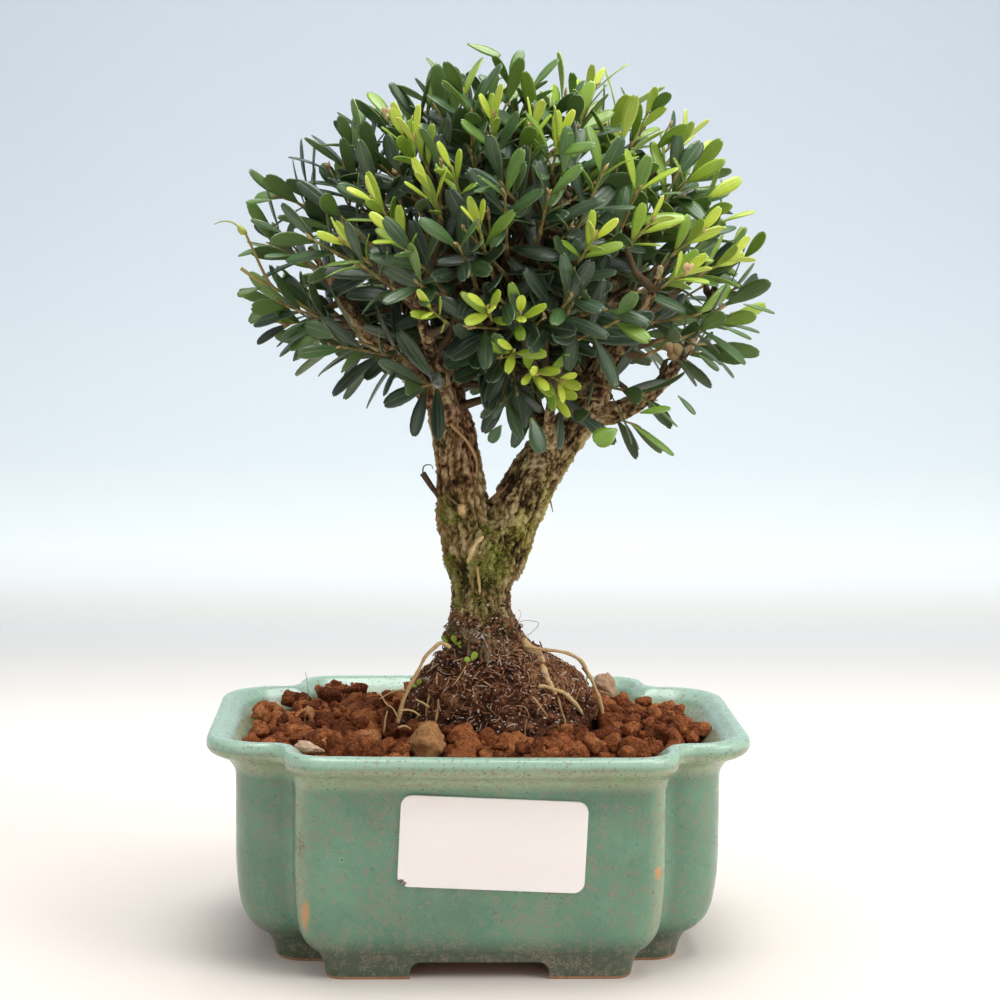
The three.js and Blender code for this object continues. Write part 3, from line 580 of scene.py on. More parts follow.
def pot_skin():
    """The skin from the foot up the outside, over the rim and down to the inner floor."""
    stations = [(0, FOOT - 0.5 * GROWN), (0.5, FOOT)]
    for z, t in ((3.6, 0.93), (6.8, 0.76), (8.8, 0.46), (13, 0.18), (21, 0.04), (29, 0), (36, 0), (42, 0)):
        stations.append((z, blend(WALL, FOOT, t)))
    for z, t in (
        (48, 0), (51.8, 0.01), (53.6, 0.09), (55.2, 0.22), (56.6, 0.4), (57.6, 0.66), (58.6, 0.87),
        (59.8, 0.97), (61, 1), (62.4, 0.97), (63.1, 0.88), (63.3, 0.8),
    ):
        stations.append((z, blend(WALL, RIM, t)))
    for z, t in ((63.2, 0.76), (62.2, 0.64), (60.2, 0.46), (56.5, 0.2), (51, 0), (35, 0), (19, 0)):
        stations.append((z, blend(INSIDE, RIM, t)))
    stations += [(12, blend(FLOOR, INSIDE, 0.62)), (FLOOR_TOP, FLOOR)]
    path = smoothed([[z, *station] for z, station in stations], 4)
    points, faces = loft([plan(row[1:], row[0]) for row in path])
    calm = smoothstep(points[:, 2], 1, 8)[:, None]
    wave = np.column_stack([fractal(points, 26, 2, seed) for seed in (11, 12, 13)])
    return points + wave * calm * 0.16, faces


def foot_gap(half, reach, turned):
    """A bar with rounded upper edges that opens the foot in the middle of two sides."""
    corner = 3.0
    right = arc(half - corner, UNDERSIDE - corner, corner, 0, 90, 6)
    outline = np.vstack([[[half, -2]], right, right[::-1] * (-1, 1), [[-half, -2]]])
    rings = []
    for y in (-reach, reach):
        ring = np.column_stack([outline[:, 0], np.full(len(outline), y), outline[:, 1]])
        rings.append(ring[:, [1, 0, 2]] if turned else ring)
    if turned:
        rings.reverse()
    return loft(rings[::-1])


def drain_hole(x):
    circle = arc(x, 0, DRAIN_RADIUS, 0, 360, 40)[:-1]
    return loft([np.column_stack([circle, np.full(len(circle), z)]) for z in (2.0, 13.0)])


def glaze():
    s = Shader("jade_glaze", Coat_Weight=0.35, Coat_Roughness=0.12)
    height = s.coordinate("Z")
    cloud = s.noise(9, 5, 0.6)
    spots = s.noise(1.8, 4, 0.65)
    fine = s.noise(0.4, 3, 0.6)
    colour = s.ramp(
        s.noise(34, 3), (0.32, rgb(82, 124, 98)), (0.5, rgb(90, 134, 107)), (0.68, rgb(100, 148, 119)),
    )
    pale = s.times(s.steps(s.noise(4, 4, 0.6), 0.5, 0.66), s.steps(fine, 0.4, 0.6))
    colour = s.mix(s.times(pale, 0.3), colour, rgb(128, 168, 140))
    lip = s.times(s.steps(height, 0.0515, 0.0555), s.steps(height, 0.0612, 0.0595))
    colour = s.mix(s.times(lip, 0.8), colour, rgb(158, 178, 140))
    # Paler glaze along the front corner ridges: partly thinner glaze there, partly a painted highlight
    edge = s.mark("edge")
    colour = s.mix(s.times(edge, 0.65), colour, rgb(150, 172, 138))
    # Painted shade: the foot band is darkened towards the bottom of the pot
    base = s.steps(height, 0.0135, 0.006)
    colour = s.mix(s.times(base, 0.85), colour, rgb(70, 76, 55))
    crowd = s.times(s.minus(cloud, 0.5), 0.6)
    crowd = s.plus(crowd, s.times(s.plus(lip, edge), 0.05))
    mottle = s.steps(s.plus(spots, crowd), 0.48, 0.58)
    mottle = s.times(mottle, s.steps(fine, 0.46, 0.54))
    colour = s.mix(s.times(mottle, 0.7), colour, rgb(148, 130, 118))
    # Painted highlight: the top of the lip and the rim are made lighter
    rim = s.steps(height, 0.06, 0.0618)
    colour = s.mix(s.times(rim, 0.85), colour, rgb(166, 200, 178))
    smear = s.times(s.steps(s.noise(1.5, 3, 0.6), 0.57, 0.64), s.steps(fine, 0.4, 0.52))
    smear = s.times(smear, s.steps(height, 0.054, 0.0575))
    colour = s.mix(s.times(smear, 0.7), colour, rgb(132, 104, 92))
    speck = s.steps(s.plus(s.noise(0.7, 2, 0.5), s.times(lip, 0.04)), 0.66, 0.72)
    colour = s.mix(s.times(speck, 0.8), colour, rgb(84, 66, 50))
    rust = s.times(s.mark("rust"), s.steps(s.noise(0.8, 3, 0.6), 0.44, 0.54))
    colour = s.mix(rust, colour, rgb(92, 60, 42))
    thin = s.steps(s.plus(s.mark("thin"), s.times(fine, 0.4)), 0.6, 0.8)
    colour = s.mix(thin, colour, rgb(190, 146, 96))
    hole = s.away_from(*PINHOLE)
    colour = s.mix(s.steps(hole, 0.0009, 0.0005, 0, 0.7), colour, rgb(150, 172, 136))
    colour = s.mix(s.steps(hole, 0.0004, 0.0002), colour, rgb(40, 46, 34))
    bare = s.steps(s.plus(s.mark("bare"), s.times(fine, 0.3)), 0.6, 0.7)
    clay = s.ramp(s.noise(1.2, 4), (0.3, rgb(160, 108, 74)), (0.7, rgb(190, 142, 102)))
    s.set("Base Color", s.mix(bare, colour, clay))
    rough = s.plus(s.steps(cloud, 0.35, 0.7, 0.26, 0.4), s.times(mottle, 0.2))
    s.set("Roughness", s.math("MAXIMUM", rough, s.times(bare, 0.85)))
    relief = s.plus(s.times(spots, 0.4), s.times(cloud, 0.6))
    s.set("Normal", s.bump(relief, 0.22, 0.5))
    return s.material


def make_pot():
    cutters = [
        loft([plan(RECESS, -2), plan(RECESS - GROWN, UNDERSIDE)]),
        foot_gap(FOOT_GAP_FRONT, 70, False),
        foot_gap(FOOT_GAP_SIDE, 80, True),
        drain_hole(-DRAIN_X),
        drain_hole(DRAIN_X),
    ]
    body = add_object("pot_body", mesh_from("pot_body", *pot_skin()))
    tools = [add_object("cutter", mesh_from("cutter", *cutter)) for cutter in cutters]
    for tool in tools:
        cut = body.modifiers.new("cut", "BOOLEAN")
        cut.operation = "DIFFERENCE"
        cut.solver = "EXACT"
        cut.object = tool
    rounded = body.modifiers.new("rounded", "BEVEL")
    rounded.limit_method = "ANGLE"
    rounded.angle_limit = math.radians(40)
    rounded.width = 0.45 * MM
    rounded.segments = 2
    mesh = with_modifiers("glazed_pot", body)
    for tool in tools:
        bpy.data.objects.remove(tool)
    points = positions(mesh)
    x, y, z = np.abs(points[:, 0]), np.abs(points[:, 1]), points[:, 2]
    length, depth, shoulder, lobe = RECESS[:4] + 0.3
    under = ((x < length) & (y < shoulder) | (x < lobe) & (y < depth)) & (z < UNDERSIDE + 0.2)
    bare = np.maximum(np.where(under, 1.0, 0.0), smoothstep(z, 1.2, 0.3))
    mark_points(mesh, "bare", bare)
    mark_points(mesh, "thin", streaks(points, THIN_STREAKS))
    mark_points(mesh, "rust", streaks(points, RUST_STREAKS))
    # The edge mark pales the glaze along the front corner ridges: partly where the glaze runs thin, partly a
    # painted highlight
    ridge = np.exp(-((x - 48) / 2.4) ** 2 - ((y - 46.5) / 2.8) ** 2)
    mark_points(mesh, "edge", ridge * smoothstep(z, 6, 14) * smoothstep(z, 58, 54))
    shade_smooth(mesh)
    return dress(add_object("glazed_pot", mesh), glaze(), "celadon_glaze", ["pot"])


# Streaks where the glaze has run thin and where iron shows in it, with the middle and the half height
# of each, and a pinhole in the front wall
THIN_STREAKS = [((-46.9, -47.2, 18.7), 5.5), ((47.5, -47, 30), 3)]
RUST_STREAKS = [((-50.5, -44, 24.6), 7), ((-48.6, -45.6, 37), 4)]
PINHOLE = (-37.0, 34.0)


def streaks(points, places):
    total = np.zeros(len(points))
    for centre, reach in places:
        away = (points - np.array(centre)) / np.array([1.3, 3.0, reach])
        total = np.maximum(total, np.exp(-(away ** 2).sum(1)))
    return total


# Label and nets
def make_label():
    half_w, half_h, corner = LABEL["width"] / 2, LABEL["height"] / 2, LABEL["corner"]
    steps = 8
    outline = np.vstack([
        arc(half_w - corner, half_h - corner, corner, 0, 90, steps),
        arc(corner - half_w, half_h - corner, corner, 90, 180, steps),
        arc(corner - half_w, corner - half_h, corner, 180, 270, steps),
        arc(half_w - corner, corner - half_h, corner, 270, 360, steps),
    ])
    tilt = math.radians(LABEL["tilt"])
    turn = np.array([[math.cos(tilt), math.sin(tilt)], [-math.sin(tilt), math.cos(tilt)]])
    rings = []
    front = -WALL[1] - 0.65
    for shrink, y in ((0.0, -WALL[1] + 0.2), (0.0, front + 0.1), (0.12, front), (1.4, front)):
        flat = outline * (1 - shrink / half_w, 1 - shrink / half_h) @ turn
        rings.append(np.column_stack([
            LABEL["x"] + flat[:, 0], np.full(len(flat), y), LABEL["z"] + flat[:, 1],
        ]))
    shape = Shape()
    shape.add(*loft(rings))
    s = Shader("label_paper", Roughness=0.42, Coat_Weight=0.15, Coat_Roughness=0.3)
    fibre = s.noise(0.5, 4, 0.6)
    colour = s.ramp(s.noise(12, 3), (0.3, rgb(252, 246, 244)), (0.7, rgb(255, 251, 249)))
    colour = s.mix(s.steps(fibre, 0.66, 0.8, 0, 0.25), colour, rgb(214, 208, 210))
    near = s.steps(s.away_from(LABEL["x"] - half_w + 0.7, LABEL["z"] - half_h + 1.6), 0.0036, 0.0006)
    worn = s.steps(s.plus(near, s.noise(0.6, 4, 0.6)), 1.3, 1.4)
    s.set("Base Color", s.mix(worn, colour, rgb(96, 86, 92)))
    s.set("Normal", s.bump(fibre, 0.05, 0.35))
    return add_piece("paper_label", shape, s.material, "label_paper", ["label"], smooth=False)


def net_plastic():
    s = Shader("net_plastic", Roughness=0.55)
    grain = s.noise(1.5, 3)
    s.set("Base Color", s.ramp(grain, (0.3, rgb(24, 36, 30)), (0.7, rgb(40, 56, 46))))
    s.set("Normal", s.bump(grain, 0.05, 0.4))
    return s.material


# Soil and stones
def inner_margin(x, y, z):
    """How far a point is inside the pot's inner wall; negative outside."""
    t = np.interp(z, [51, 56.5, 60.2, 63.3], [0, 0.2, 0.46, 0.74])
    length, depth, shoulder, lobe = blend(INSIDE, RIM, t)[:4]
    along_x = min(length - abs(x), shoulder - abs(y))
    along_y = min(lobe - abs(x), depth - abs(y))
    return max(along_x, along_y)


def mound_reach(z):
    """Centre x and the two half sizes of the root ball at a height."""
    rows = np.array(MOUND, float)
    return [np.interp(z, rows[:, 0], rows[:, k]) for k in (1, 2, 3)]


def in_mound(x, y, z, grow):
    if z > MOUND[-1][0]:
        return False
    centre, length, depth = mound_reach(z)
    return ((x - centre) / (length + grow)) ** 2 + ((y - 1) / (depth + grow)) ** 2 < 1


def swell(x, y):
    return 1.5 * math.exp(-(((x - 6) / 45) ** 2) - (y / 34) ** 2)


# Stones that stand out of the soil: the place, the half sizes and the seed of each
STONES = [
    ("stone_tan", (-14.5, -31.5, 61.5), (5.6, 5, 5.4), 1),
    ("stone_pink", (-44.6, -34.6, 61), (4.6, 3, 1.9), 2),
    ("stone_pale", (40, 38, 62.6), (4.2, 3.6, 4.4), 3),
]


def pile_grains():
    """Grains dropped one by one onto those below, largest first. Each is x, y, z and its radius."""
    draw = mulberry32(2024)
    grains = [(*at, max(size) * 0.85) for _, at, size, _ in STONES]
    sizes = sorted([1.7 + 4.0 * draw() ** 1.5 for _ in range(GRAINS)], reverse=True)
    for radius in sizes:
        x = (draw() * 2 - 1) * 72
        y = (draw() * 2 - 1) * 55
        z = SOIL_LEVEL - 0.8 + swell(x, y)
        for gx, gy, gz, other in grains:
            flat = (x - gx) ** 2 + (y - gy) ** 2
            touch = (radius + other) * 0.8
            if flat < touch * touch:
                z = max(z, gz + math.sqrt(touch * touch - flat))
        top = SOIL_LEVEL + swell(x, y) + 5.2
        if z + radius > top + 1.2 or inner_margin(x, y, z) < radius * 0.8 or in_mound(x, y, z, radius * 0.3):
            continue
        if abs(x + 14.5) < 4.6 + radius * 0.6 and y < -33 and z > 56:
            continue
        grains.append((x, y, z, radius))
    return grains[len(STONES):]


def baked_clay():
    s = Shader("baked_clay", Roughness=0.95, Specular_IOR_Level=0.15)
    grain = s.noise(2.2, 8, 0.75)
    grit = s.noise(0.55, 3, 0.7)
    pores = s.cells(1.3)
    uneven = s.plus(s.times(grain, 0.9), s.times(grit, 0.9))
    tone = s.plus(s.mark("tone"), s.minus(uneven, 0.88))
    colour = s.ramp(
        tone, (0.0, rgb(56, 27, 16)), (0.3, rgb(112, 60, 35)), (0.55, rgb(160, 94, 56)),
        (0.8, rgb(194, 126, 78)), (1.0, rgb(218, 162, 114)),
    )
    # Painted shade: the small pores in the grains are darkened
    colour = s.mix(s.steps(pores, 0.26, 0.1, 0, 0.75), colour, rgb(48, 25, 16))
    s.set("Base Color", colour)
    relief = s.plus(s.times(uneven, 0.6), s.times(pores, 0.4))
    s.set("Normal", s.bump(relief, 0.8, 1.0))
    return s.material


def make_soil():
    draw = mulberry32(77)
    clay = baked_clay()
    shape = Shape()
    slab = [(FLOOR_TOP + 0.4, FLOOR), (19, INSIDE), (51, INSIDE), (55.5, blend(INSIDE, RIM, 0.15))]
    shape.add(*loft([plan(station - 0.6 * GROWN, z) for z, station in slab]), tone=0.1)
    grains = pile_grains()
    for x, y, z, radius in grains:
        tone = 0.2 + 0.42 * draw() + (0.3 if draw() < 0.08 else 0)
        size = np.array([1.1, 0.8 + 0.35 * draw(), 0.72 + 0.3 * draw()]) * radius * 1.14
        level = 4 if radius > 4.0 else 3
        points, faces = lump((x, y, z), size, level, draw, 9, 0.26, 0.5)
        shape.add(points, faces, tone=tone)
    add_piece("clay_grains", shape, clay, "baked_clay", ["soil"])
    small = Shape()
    for _ in range(CLAY_BITS):
        *below, radius = grains[int(draw() * len(grains))]
        if below[2] < SOIL_LEVEL - 3:
            continue
        way = unit(np.array([draw() - 0.5, draw() - 0.5, 0.2 + 0.5 * draw()]))
        x, y, z = np.array(below) + way * radius * 0.9
        size = np.array([1, 0.6 + 0.4 * draw(), 0.5 + 0.5 * draw()]) * (0.5 + 0.9 * draw() ** 2)
        points, faces = lump((x, y, z), size, 2, draw, 9, 0.3, 0.45)
        small.add(points, faces, tone=0.3 + 0.4 * draw())
    add_piece("clay_bits", small, clay, "baked_clay")


def stone_material(name, dark, light, pores):
    s = Shader(name, Roughness=0.85)
    grain = s.noise(1.4, 6, 0.7)
    colour = s.ramp(grain, (0.3, dark), (0.7, light))
    # Painted shade: the pits of the stone are darkened
    hole = s.steps(s.cells(1.1), 0.3, 0.12, 0, pores)
    s.set("Base Color", s.mix(hole, colour, tuple(0.45 * c for c in dark)))
    s.set("Normal", s.bump(grain, 0.5, 0.8))
    return s.material


# The pink stone lies flat beside the rim's front corner
PINK_MIDDLE = np.array([-46.3, -34.2, 61.2])
PINK_SIZE = np.array([8.4, 5.4, 3.6])


def make_stones():
    looks = {
        "stone_tan": (rgb(142, 94, 52), rgb(202, 150, 96), 0.6, "tan_stone"),
        "stone_pink": (rgb(188, 150, 122), rgb(226, 194, 168), 0.2, "pink_stone"),
        "stone_pale": (rgb(168, 132, 102), rgb(206, 172, 140), 0.3, "pale_stone"),
    }
    for name, at, size, seed in STONES:
        dark, light, pores, slot = looks[name]
        shape = Shape()
        points, faces = lump(at, np.array(size) * 1.02, 4, mulberry32(300 + seed), 13, 0.16)
        if name == "stone_pink":
            low, high = points.min(0), points.max(0)
            points = PINK_MIDDLE + (points - (low + high) / 2) / (high - low) * PINK_SIZE
        shape.add(points, faces)
        add_piece(f"{name}_lump", shape, stone_material(name, dark, light, pores), slot, [name])


# Root ball
def compost():
    s = Shader("compost", Roughness=0.95, Specular_IOR_Level=0.2)
    grain = s.noise(1.2, 6, 0.75)
    colour = s.ramp(
        s.plus(s.mark("tone"), s.times(s.minus(grain, 0.5), 0.95)),
        (0.0, rgb(28, 16, 11)), (0.24, rgb(84, 50, 35)), (0.48, rgb(148, 98, 68)), (0.76, rgb(202, 156, 116)),
        (0.92, rgb(236, 224, 214)),
    )
    s.set("Base Color", colour)
    s.set("Normal", s.bump(grain, 0.7, 1.0))
    return s.material


def mound_mesh():
    rows = smoothed(MOUND, 14)
    angle = np.linspace(0, 2 * math.pi, 221)[:-1]
    rings = [
        np.column_stack([cx + rx * np.cos(angle), 1 + ry * np.sin(angle), np.full(len(angle), z)])
        for z, cx, rx, ry in rows
    ]
    points, faces = loft(rings)
    outward = points - np.array([5.0, 1.0, 62.0])
    outward /= np.linalg.norm(outward, axis=1)[:, None]
    relief = fractal(points, 9, 3, 31) * 0.8 + fractal(points, 2.2, 3, 35) * 0.75
    relief += 0.6 * smoothstep(border_of_cells(points / 1.9, 38), 0, 0.5) - 0.3
    return points + outward * relief[:, None], faces, relief


def surface_points(tree, count, seed, low, high, lean=0.8):
    """Points spread over the root ball between two heights, each with the surface's direction there."""
    draw = mulberry32(seed)
    for _ in range(count):
        z = low + (high - low) * draw() ** lean
        turn = draw() * 2 * math.pi
        way = Vector((math.cos(turn), math.sin(turn), 0.25))
        start = Vector((mound_reach(z)[0], 1, z)) + way * 60
        hit, facing, _, _ = tree.ray_cast(start, -way)
        if hit:
            yield np.array(hit), np.array(facing), draw


def add_fibre(shape, at, facing, draw, length, thin):
    along = unit(cross(facing, toss(draw)))
    bend = cross(facing, along) * (draw() - 0.5) * length * 0.5
    knots = [at - along * length / 2, at + facing * (0.3 + draw() * 0.5) + bend, at + along * length / 2]
    line = smoothed(knots, 3)
    radius = thin * (0.6 + draw())
    shape.add(*tube(line, np.full(len(line), radius), 4), tone=0.42 + 0.5 * draw() ** 1.6)


# Where fine roots felt the root ball, and how far
FELT = (22.5, -11.0, 79.5)
FELT_REACH = 8.5


def felted(points):
    return np.exp(-((points - np.array(FELT)) ** 2).sum(-1) / FELT_REACH ** 2)


# Litter over a surface: its two heights, how many crumbs, white bits and fibres, the seed and how much
# it crowds towards the lower height
MOUND_LITTER = (55, 89, 1500, 1200, 1300, 51, 0.8)
FOOT_LITTER = (81, 90, 460, 190, 130, 151, 0.8)
HIGH_LITTER = (87, 98, 150, 80, 40, 161, 2.2)


def add_litter(shape, tree, low, high, crumbs, bits, fibres, seed, lean):
    for at, facing, draw in surface_points(tree, crumbs, seed, low, high, lean):
        size = (0.3 + 0.7 * draw() ** 2) * np.array([1.1, 0.5 + 0.5 * draw(), 0.5 + 0.4 * draw()])
        tone = 0.1 + 0.5 * draw() + 0.35 * float(felted(at))
        shape.add(*lump(at + facing * 0.1, size, 1, draw, 6, 0.3, 0.5), tone=tone)
    for at, facing, draw in surface_points(tree, bits, seed + 1, low, high, lean):
        size = (0.13 + 0.24 * draw() ** 2) * np.array([1 + draw(), 0.8, 0.8])
        shape.add(*lump(at + facing * 0.25, size, 1, draw, 3, 0.1), tone=0.95 + 0.3 * draw())
    for at, facing, draw in surface_points(tree, fibres, seed + 2, low, high, lean):
        add_fibre(shape, at, facing, draw, 1.2 + 4.2 * draw() ** 2, 0.16)


def make_mound():
    points, faces, relief = mound_mesh()
    tree = BVHTree.FromPolygons(points.tolist(), faces)
    shape = Shape()
    # Painted shade: the tone follows the relief, darker in the hollows and lighter on the raised parts; the
    # felt is paler
    shape.add(points, faces, tone=np.clip(0.26 + 0.2 * relief + 0.4 * felted(points), 0.02, 0.76))
    add_litter(shape, tree, *MOUND_LITTER)
    for at, facing, draw in surface_points(tree, FELT_FIBRES, 58, 64, 86):
        if felted(at) > 0.2 + 0.5 * draw():
            add_fibre(shape, at + facing * 0.2, facing, draw, 2 + 4 * draw(), 0.15)
    add_piece("compost_ball", shape, compost(), "compost", ["root_ball"])
    return tree


def make_trunk_litter(bark_tree):
    """Compost that clings to the foot of the trunk, thinner further up."""
    shape = Shape()
    add_litter(shape, bark_tree, *FOOT_LITTER)
    add_litter(shape, bark_tree, *HIGH_LITTER)
    return add_piece("clinging_compost", shape, compost(), "compost")


# Wood
def bark():
    s = Shader("bark", Roughness=0.92, Specular_IOR_Level=0.2)
    height = s.mark("height")
    coarse = s.noise(6, 5, 0.65, 2.0)
    fine = s.noise(1.0, 8, 0.8, 1.8)
    grit = s.noise(0.45, 4, 0.7)
    # Colour follows the bark's height: partly its own dark cracks and pale corky plates, partly painted shade
    # in the cracks and a painted highlight on the plates
    level = s.plus(s.times(height, 1.0), s.times(fine, 1.05))
    level = s.minus(level, 0.4)
    brown = s.ramp(
        level, (0.14, rgb(30, 20, 14)), (0.36, rgb(84, 62, 42)), (0.56, rgb(148, 120, 84)),
        (0.76, rgb(194, 170, 126)), (0.95, rgb(216, 198, 158)),
    )
    olive = s.ramp(
        level, (0.14, rgb(32, 27, 12)), (0.36, rgb(96, 86, 36)), (0.56, rgb(152, 142, 70)),
        (0.76, rgb(190, 180, 108)), (0.95, rgb(214, 204, 146)),
    )
    red = s.ramp(
        level, (0.14, rgb(32, 18, 12)), (0.36, rgb(88, 56, 38)), (0.56, rgb(144, 104, 74)),
        (0.76, rgb(186, 148, 114)), (0.95, rgb(222, 194, 160)),
    )
    colour = s.mix(s.steps(s.mark("red"), 0.3, 0.7), brown, red)
    lichen = s.times(s.mark("lichen"), s.steps(coarse, 0.36, 0.56))
    colour = s.mix(lichen, colour, olive)
    green = s.times(s.mark("moss"), s.steps(fine, 0.38, 0.58))
    moss = s.ramp(grit, (0.3, rgb(92, 100, 36)), (0.7, rgb(150, 162, 70)))
    colour = s.mix(green, colour, moss)
    foot = s.steps(s.coordinate("Z"), 0.098, 0.084, 0, 0.65)
    colour = s.mix(foot, colour, s.mix(s.steps(fine, 0.4, 0.6), rgb(54, 38, 26), rgb(106, 78, 52)))
    s.set("Base Color", s.mix(s.steps(grit, 0.57, 0.68, 0, 0.65), colour, rgb(24, 17, 11)))
    relief = s.plus(s.times(fine, 0.75), s.times(grit, 0.4))
    s.set("Normal", s.bump(relief, 0.9, 1.0))
    return s.material


# Moss patches, each x and z as seen, with the reach and strength
MOSS = [
    (-8.9, 108.0, 4.0, 1.0), (1.9, 108.1, 5.0, 1.0), (1.5, 91.4, 3.2, 0.8), (0.0, 96.9, 3.2, 0.8),
    (-7.6, 119.8, 4.5, 0.7), (-9.9, 122.4, 4.0, 0.7), (2.4, 115.3, 4.0, 0.9), (-14.0, 142.0, 5.0, 0.5),
    (3.4, 103.5, 4.5, 0.9), (-5.1, 96.2, 3.0, 0.8), (-7.9, 87.0, 3.0, 0.9), (-7.0, 103.0, 3.5, 0.8),
    (40, 205, 5, 0.6),
]


def spine_rows(curves):
    """Points along wood: the place, the direction, the length so far and the radius."""
    rows = []
    for number, knots in enumerate(curves):
        line = smoothed(knots, 8)
        along = np.gradient(line[:, :3], axis=0)
        along /= np.linalg.norm(along, axis=1)[:, None]
        run = np.append(0, np.cumsum(np.linalg.norm(np.diff(line[:, :3], axis=0), axis=1)))
        rows.append(np.column_stack([line[:, :3], along, run + 37 * number, line[:, 3]]))
    return np.vstack(rows)


def along_wood(points, curves, squash):
    """Where points lie round the wood, with the length along it squashed, and the wood's radius there."""
    rows = spine_rows(curves)
    near = np.zeros(len(points), int)
    for start in range(0, len(points), 4000):
        part = points[start:start + 4000]
        away = np.linalg.norm(part[:, None] - rows[None, :, :3], axis=2) - rows[None, :, 7]
        near[start:start + 4000] = np.argmin(away, axis=1)
    row = rows[near]
    offset = points - row[:, :3]
    axial = (offset * row[:, 3:6]).sum(1)
    round_it = offset - row[:, 3:6] * axial[:, None]
    return round_it + row[:, 3:6] * ((row[:, 6] + axial) * squash)[:, None], row[:, 7]


def wood_body(name, curves, sides, voxel):
    """Wood merged into one skin, with corky plates between deep cracks."""
    shape = Shape()
    for knots in curves:
        line = smoothed(knots, 6)
        narrowest = 1 if curves is TRUNK_CURVES else 0.55
        taper = np.interp(np.arange(len(line)), (0, len(line) - 1), (1, narrowest))
        shape.add(*tube(line[:, :3], line[:, 3] * 0.96 * taper, sides))
    if curves is TRUNK_CURVES:
        for x, y, z, radius in KNOBS:
            shape.add(*lump((x, y, z), np.full(3, radius), 3, mulberry32(int(z * 7)), 5, 0.1, 0.8))
    body = add_object("wood", mesh_from("wood", np.vstack(shape.points), shape.faces))
    skin = body.modifiers.new("skin", "REMESH")
    skin.mode = "VOXEL"
    skin.voxel_size = voxel * MM
    mesh = with_modifiers(name, body)
    points, facing = positions(mesh), normals(mesh)
    place, radius = along_wood(points, curves, 0.2)
    warp = np.column_stack([fractal(place, 2.8, 3, seed) for seed in (61, 62, 63)])
    warped = place + warp * 1.2
    plates = smoothstep(border_of_cells(warped / 2.5, 70), 0.0, 0.4)
    flakes = smoothstep(border_of_cells((warped + points * 0.35 + 40) / 1.3, 80), 0.0, 0.4)
    lumps = fractal(points, 8, 3, 71)
    grain = fractal(points, 1.1, 2, 75)
    # The height also sets the bark's colour, partly with painted shade in the cracks and a painted highlight
    # on the plates
    height = 0.4 * plates + 0.25 * flakes + 0.19 * lumps + 0.2 * grain + 0.12
    depth = np.clip(radius * 0.22, 0.3, 2.1)
    move_points(mesh, points + facing * ((height - 0.5) * depth)[:, None])
    mark_points(mesh, "height", np.clip(height, 0, 1))
    return mesh


TRUNK_CURVES = [STEM, *LIMBS]
# Knots that swell the trunk, each x, y, z and its radius
KNOBS = [
    (9.4, -5.4, 124.6, 3.0), (13.1, -5.4, 127.0, 2.6), (-6.4, -5.6, 121.6, 2.8), (6.0, -7.0, 112.0, 3.0),
    (-4.0, -6.5, 92.0, 3.0), (6.0, -6.0, 90.0, 3.2), (-7.0, -3.0, 86.0, 3.0), (9.0, -3.0, 86.0, 3.4),
]


def seen_on(tree, x, z):
    """The place and the facing of a surface as it is seen at x, z, or None."""
    way = Vector((x, 0, z)) - Vector(EYE)
    hit, facing, _, _ = tree.ray_cast(Vector(EYE), way.normalized())
    return (np.array(hit), np.array(facing)) if hit else None


def mark_bark(mesh, tree):
    """Moss and lichen on the bark, each as strong as its mark."""
    points = positions(mesh)
    moss = np.zeros(len(points))
    for x, z, reach, strength in MOSS:
        place = seen_on(tree, x, z)
        if place:
            away = np.linalg.norm((points - place[0]) / (1, 1, 1.25), axis=1) / reach
            moss = np.maximum(moss, strength * np.exp(-away * away))
    moss *= 0.75 + 0.5 * fractal(points, 2.4, 2, 91)
    lower = smoothstep(points[:, 2], 158, 120) * smoothstep(points[:, 2], 84, 96)
    north = smoothstep(points[:, 1], -2, 8) * 0.6
    above_fork = points[:, 2] - 110
    right_limb = smoothstep(points[:, 0] - above_fork * 0.75, -2, 6) * smoothstep(above_fork, -12, 0)
    lichen = np.clip(lower * (0.3 + 0.7 * right_limb) + north * lower, 0, 1)
    left_limb = smoothstep(points[:, 0] - above_fork * 0.2, 5, -1) * smoothstep(above_fork, -8, 4)
    left_limb *= smoothstep(above_fork, 55, 38)
    mark_points(mesh, "red", np.clip(0.66 * left_limb + 0.5 * fractal(points, 12, 3, 97) + 0.08, 0, 1))
    mark_points(mesh, "moss", np.clip(moss, 0, 1))
    mark_points(mesh, "lichen", lichen)
    shade_smooth(mesh)
    return moss


def make_wood():
    skin = bark()
    trunk = wood_body("bark_trunk", TRUNK_CURVES, 28, 0.45)
    tree = surface_of(trunk)
    moss = mark_bark(trunk, tree)
    dress(add_object("bark_trunk", trunk), skin, "bark", ["trunk"])
    make_moss(trunk, moss)
    branches = wood_body("bark_branches", BRANCHES, 14, 0.6)
    mark_bark(branches, tree)
    dress(add_object("bark_branches", branches), skin, "bark")
    return tree


def moss_material():
    s = Shader("moss", Roughness=0.9, Specular_IOR_Level=0.2)
    tone = s.plus(s.mark("tone"), s.times(s.noise(0.8, 3), 0.4))
    s.set("Base Color", s.ramp(
        tone, (0.2, rgb(92, 100, 34)), (0.6, rgb(148, 164, 64)), (1.0, rgb(198, 210, 108)),
    ))
    return s.material


def make_moss(mesh, moss):
    """Small tufts standing on the mossy bark."""
    draw = mulberry32(88)
    shape = Shape()
    points, facing = positions(mesh), normals(mesh)
    for i in np.nonzero(moss > 0.3)[0]:
        if draw() > 0.3 * moss[i]:
            continue
        for _ in range(2):
            lean = unit(facing[i] + 1.3 * np.array([draw() - 0.5, draw() - 0.5, draw() - 0.4]))
            length = 0.35 + 0.5 * draw()
            foot = points[i] + 0.5 * toss(draw)
            shape.add(*tube([foot, foot + lean * length], (0.14, 0.05), 3), tone=0.2 + 0.6 * draw())
    return add_piece("moss_tufts", shape, moss_material(), "bark")


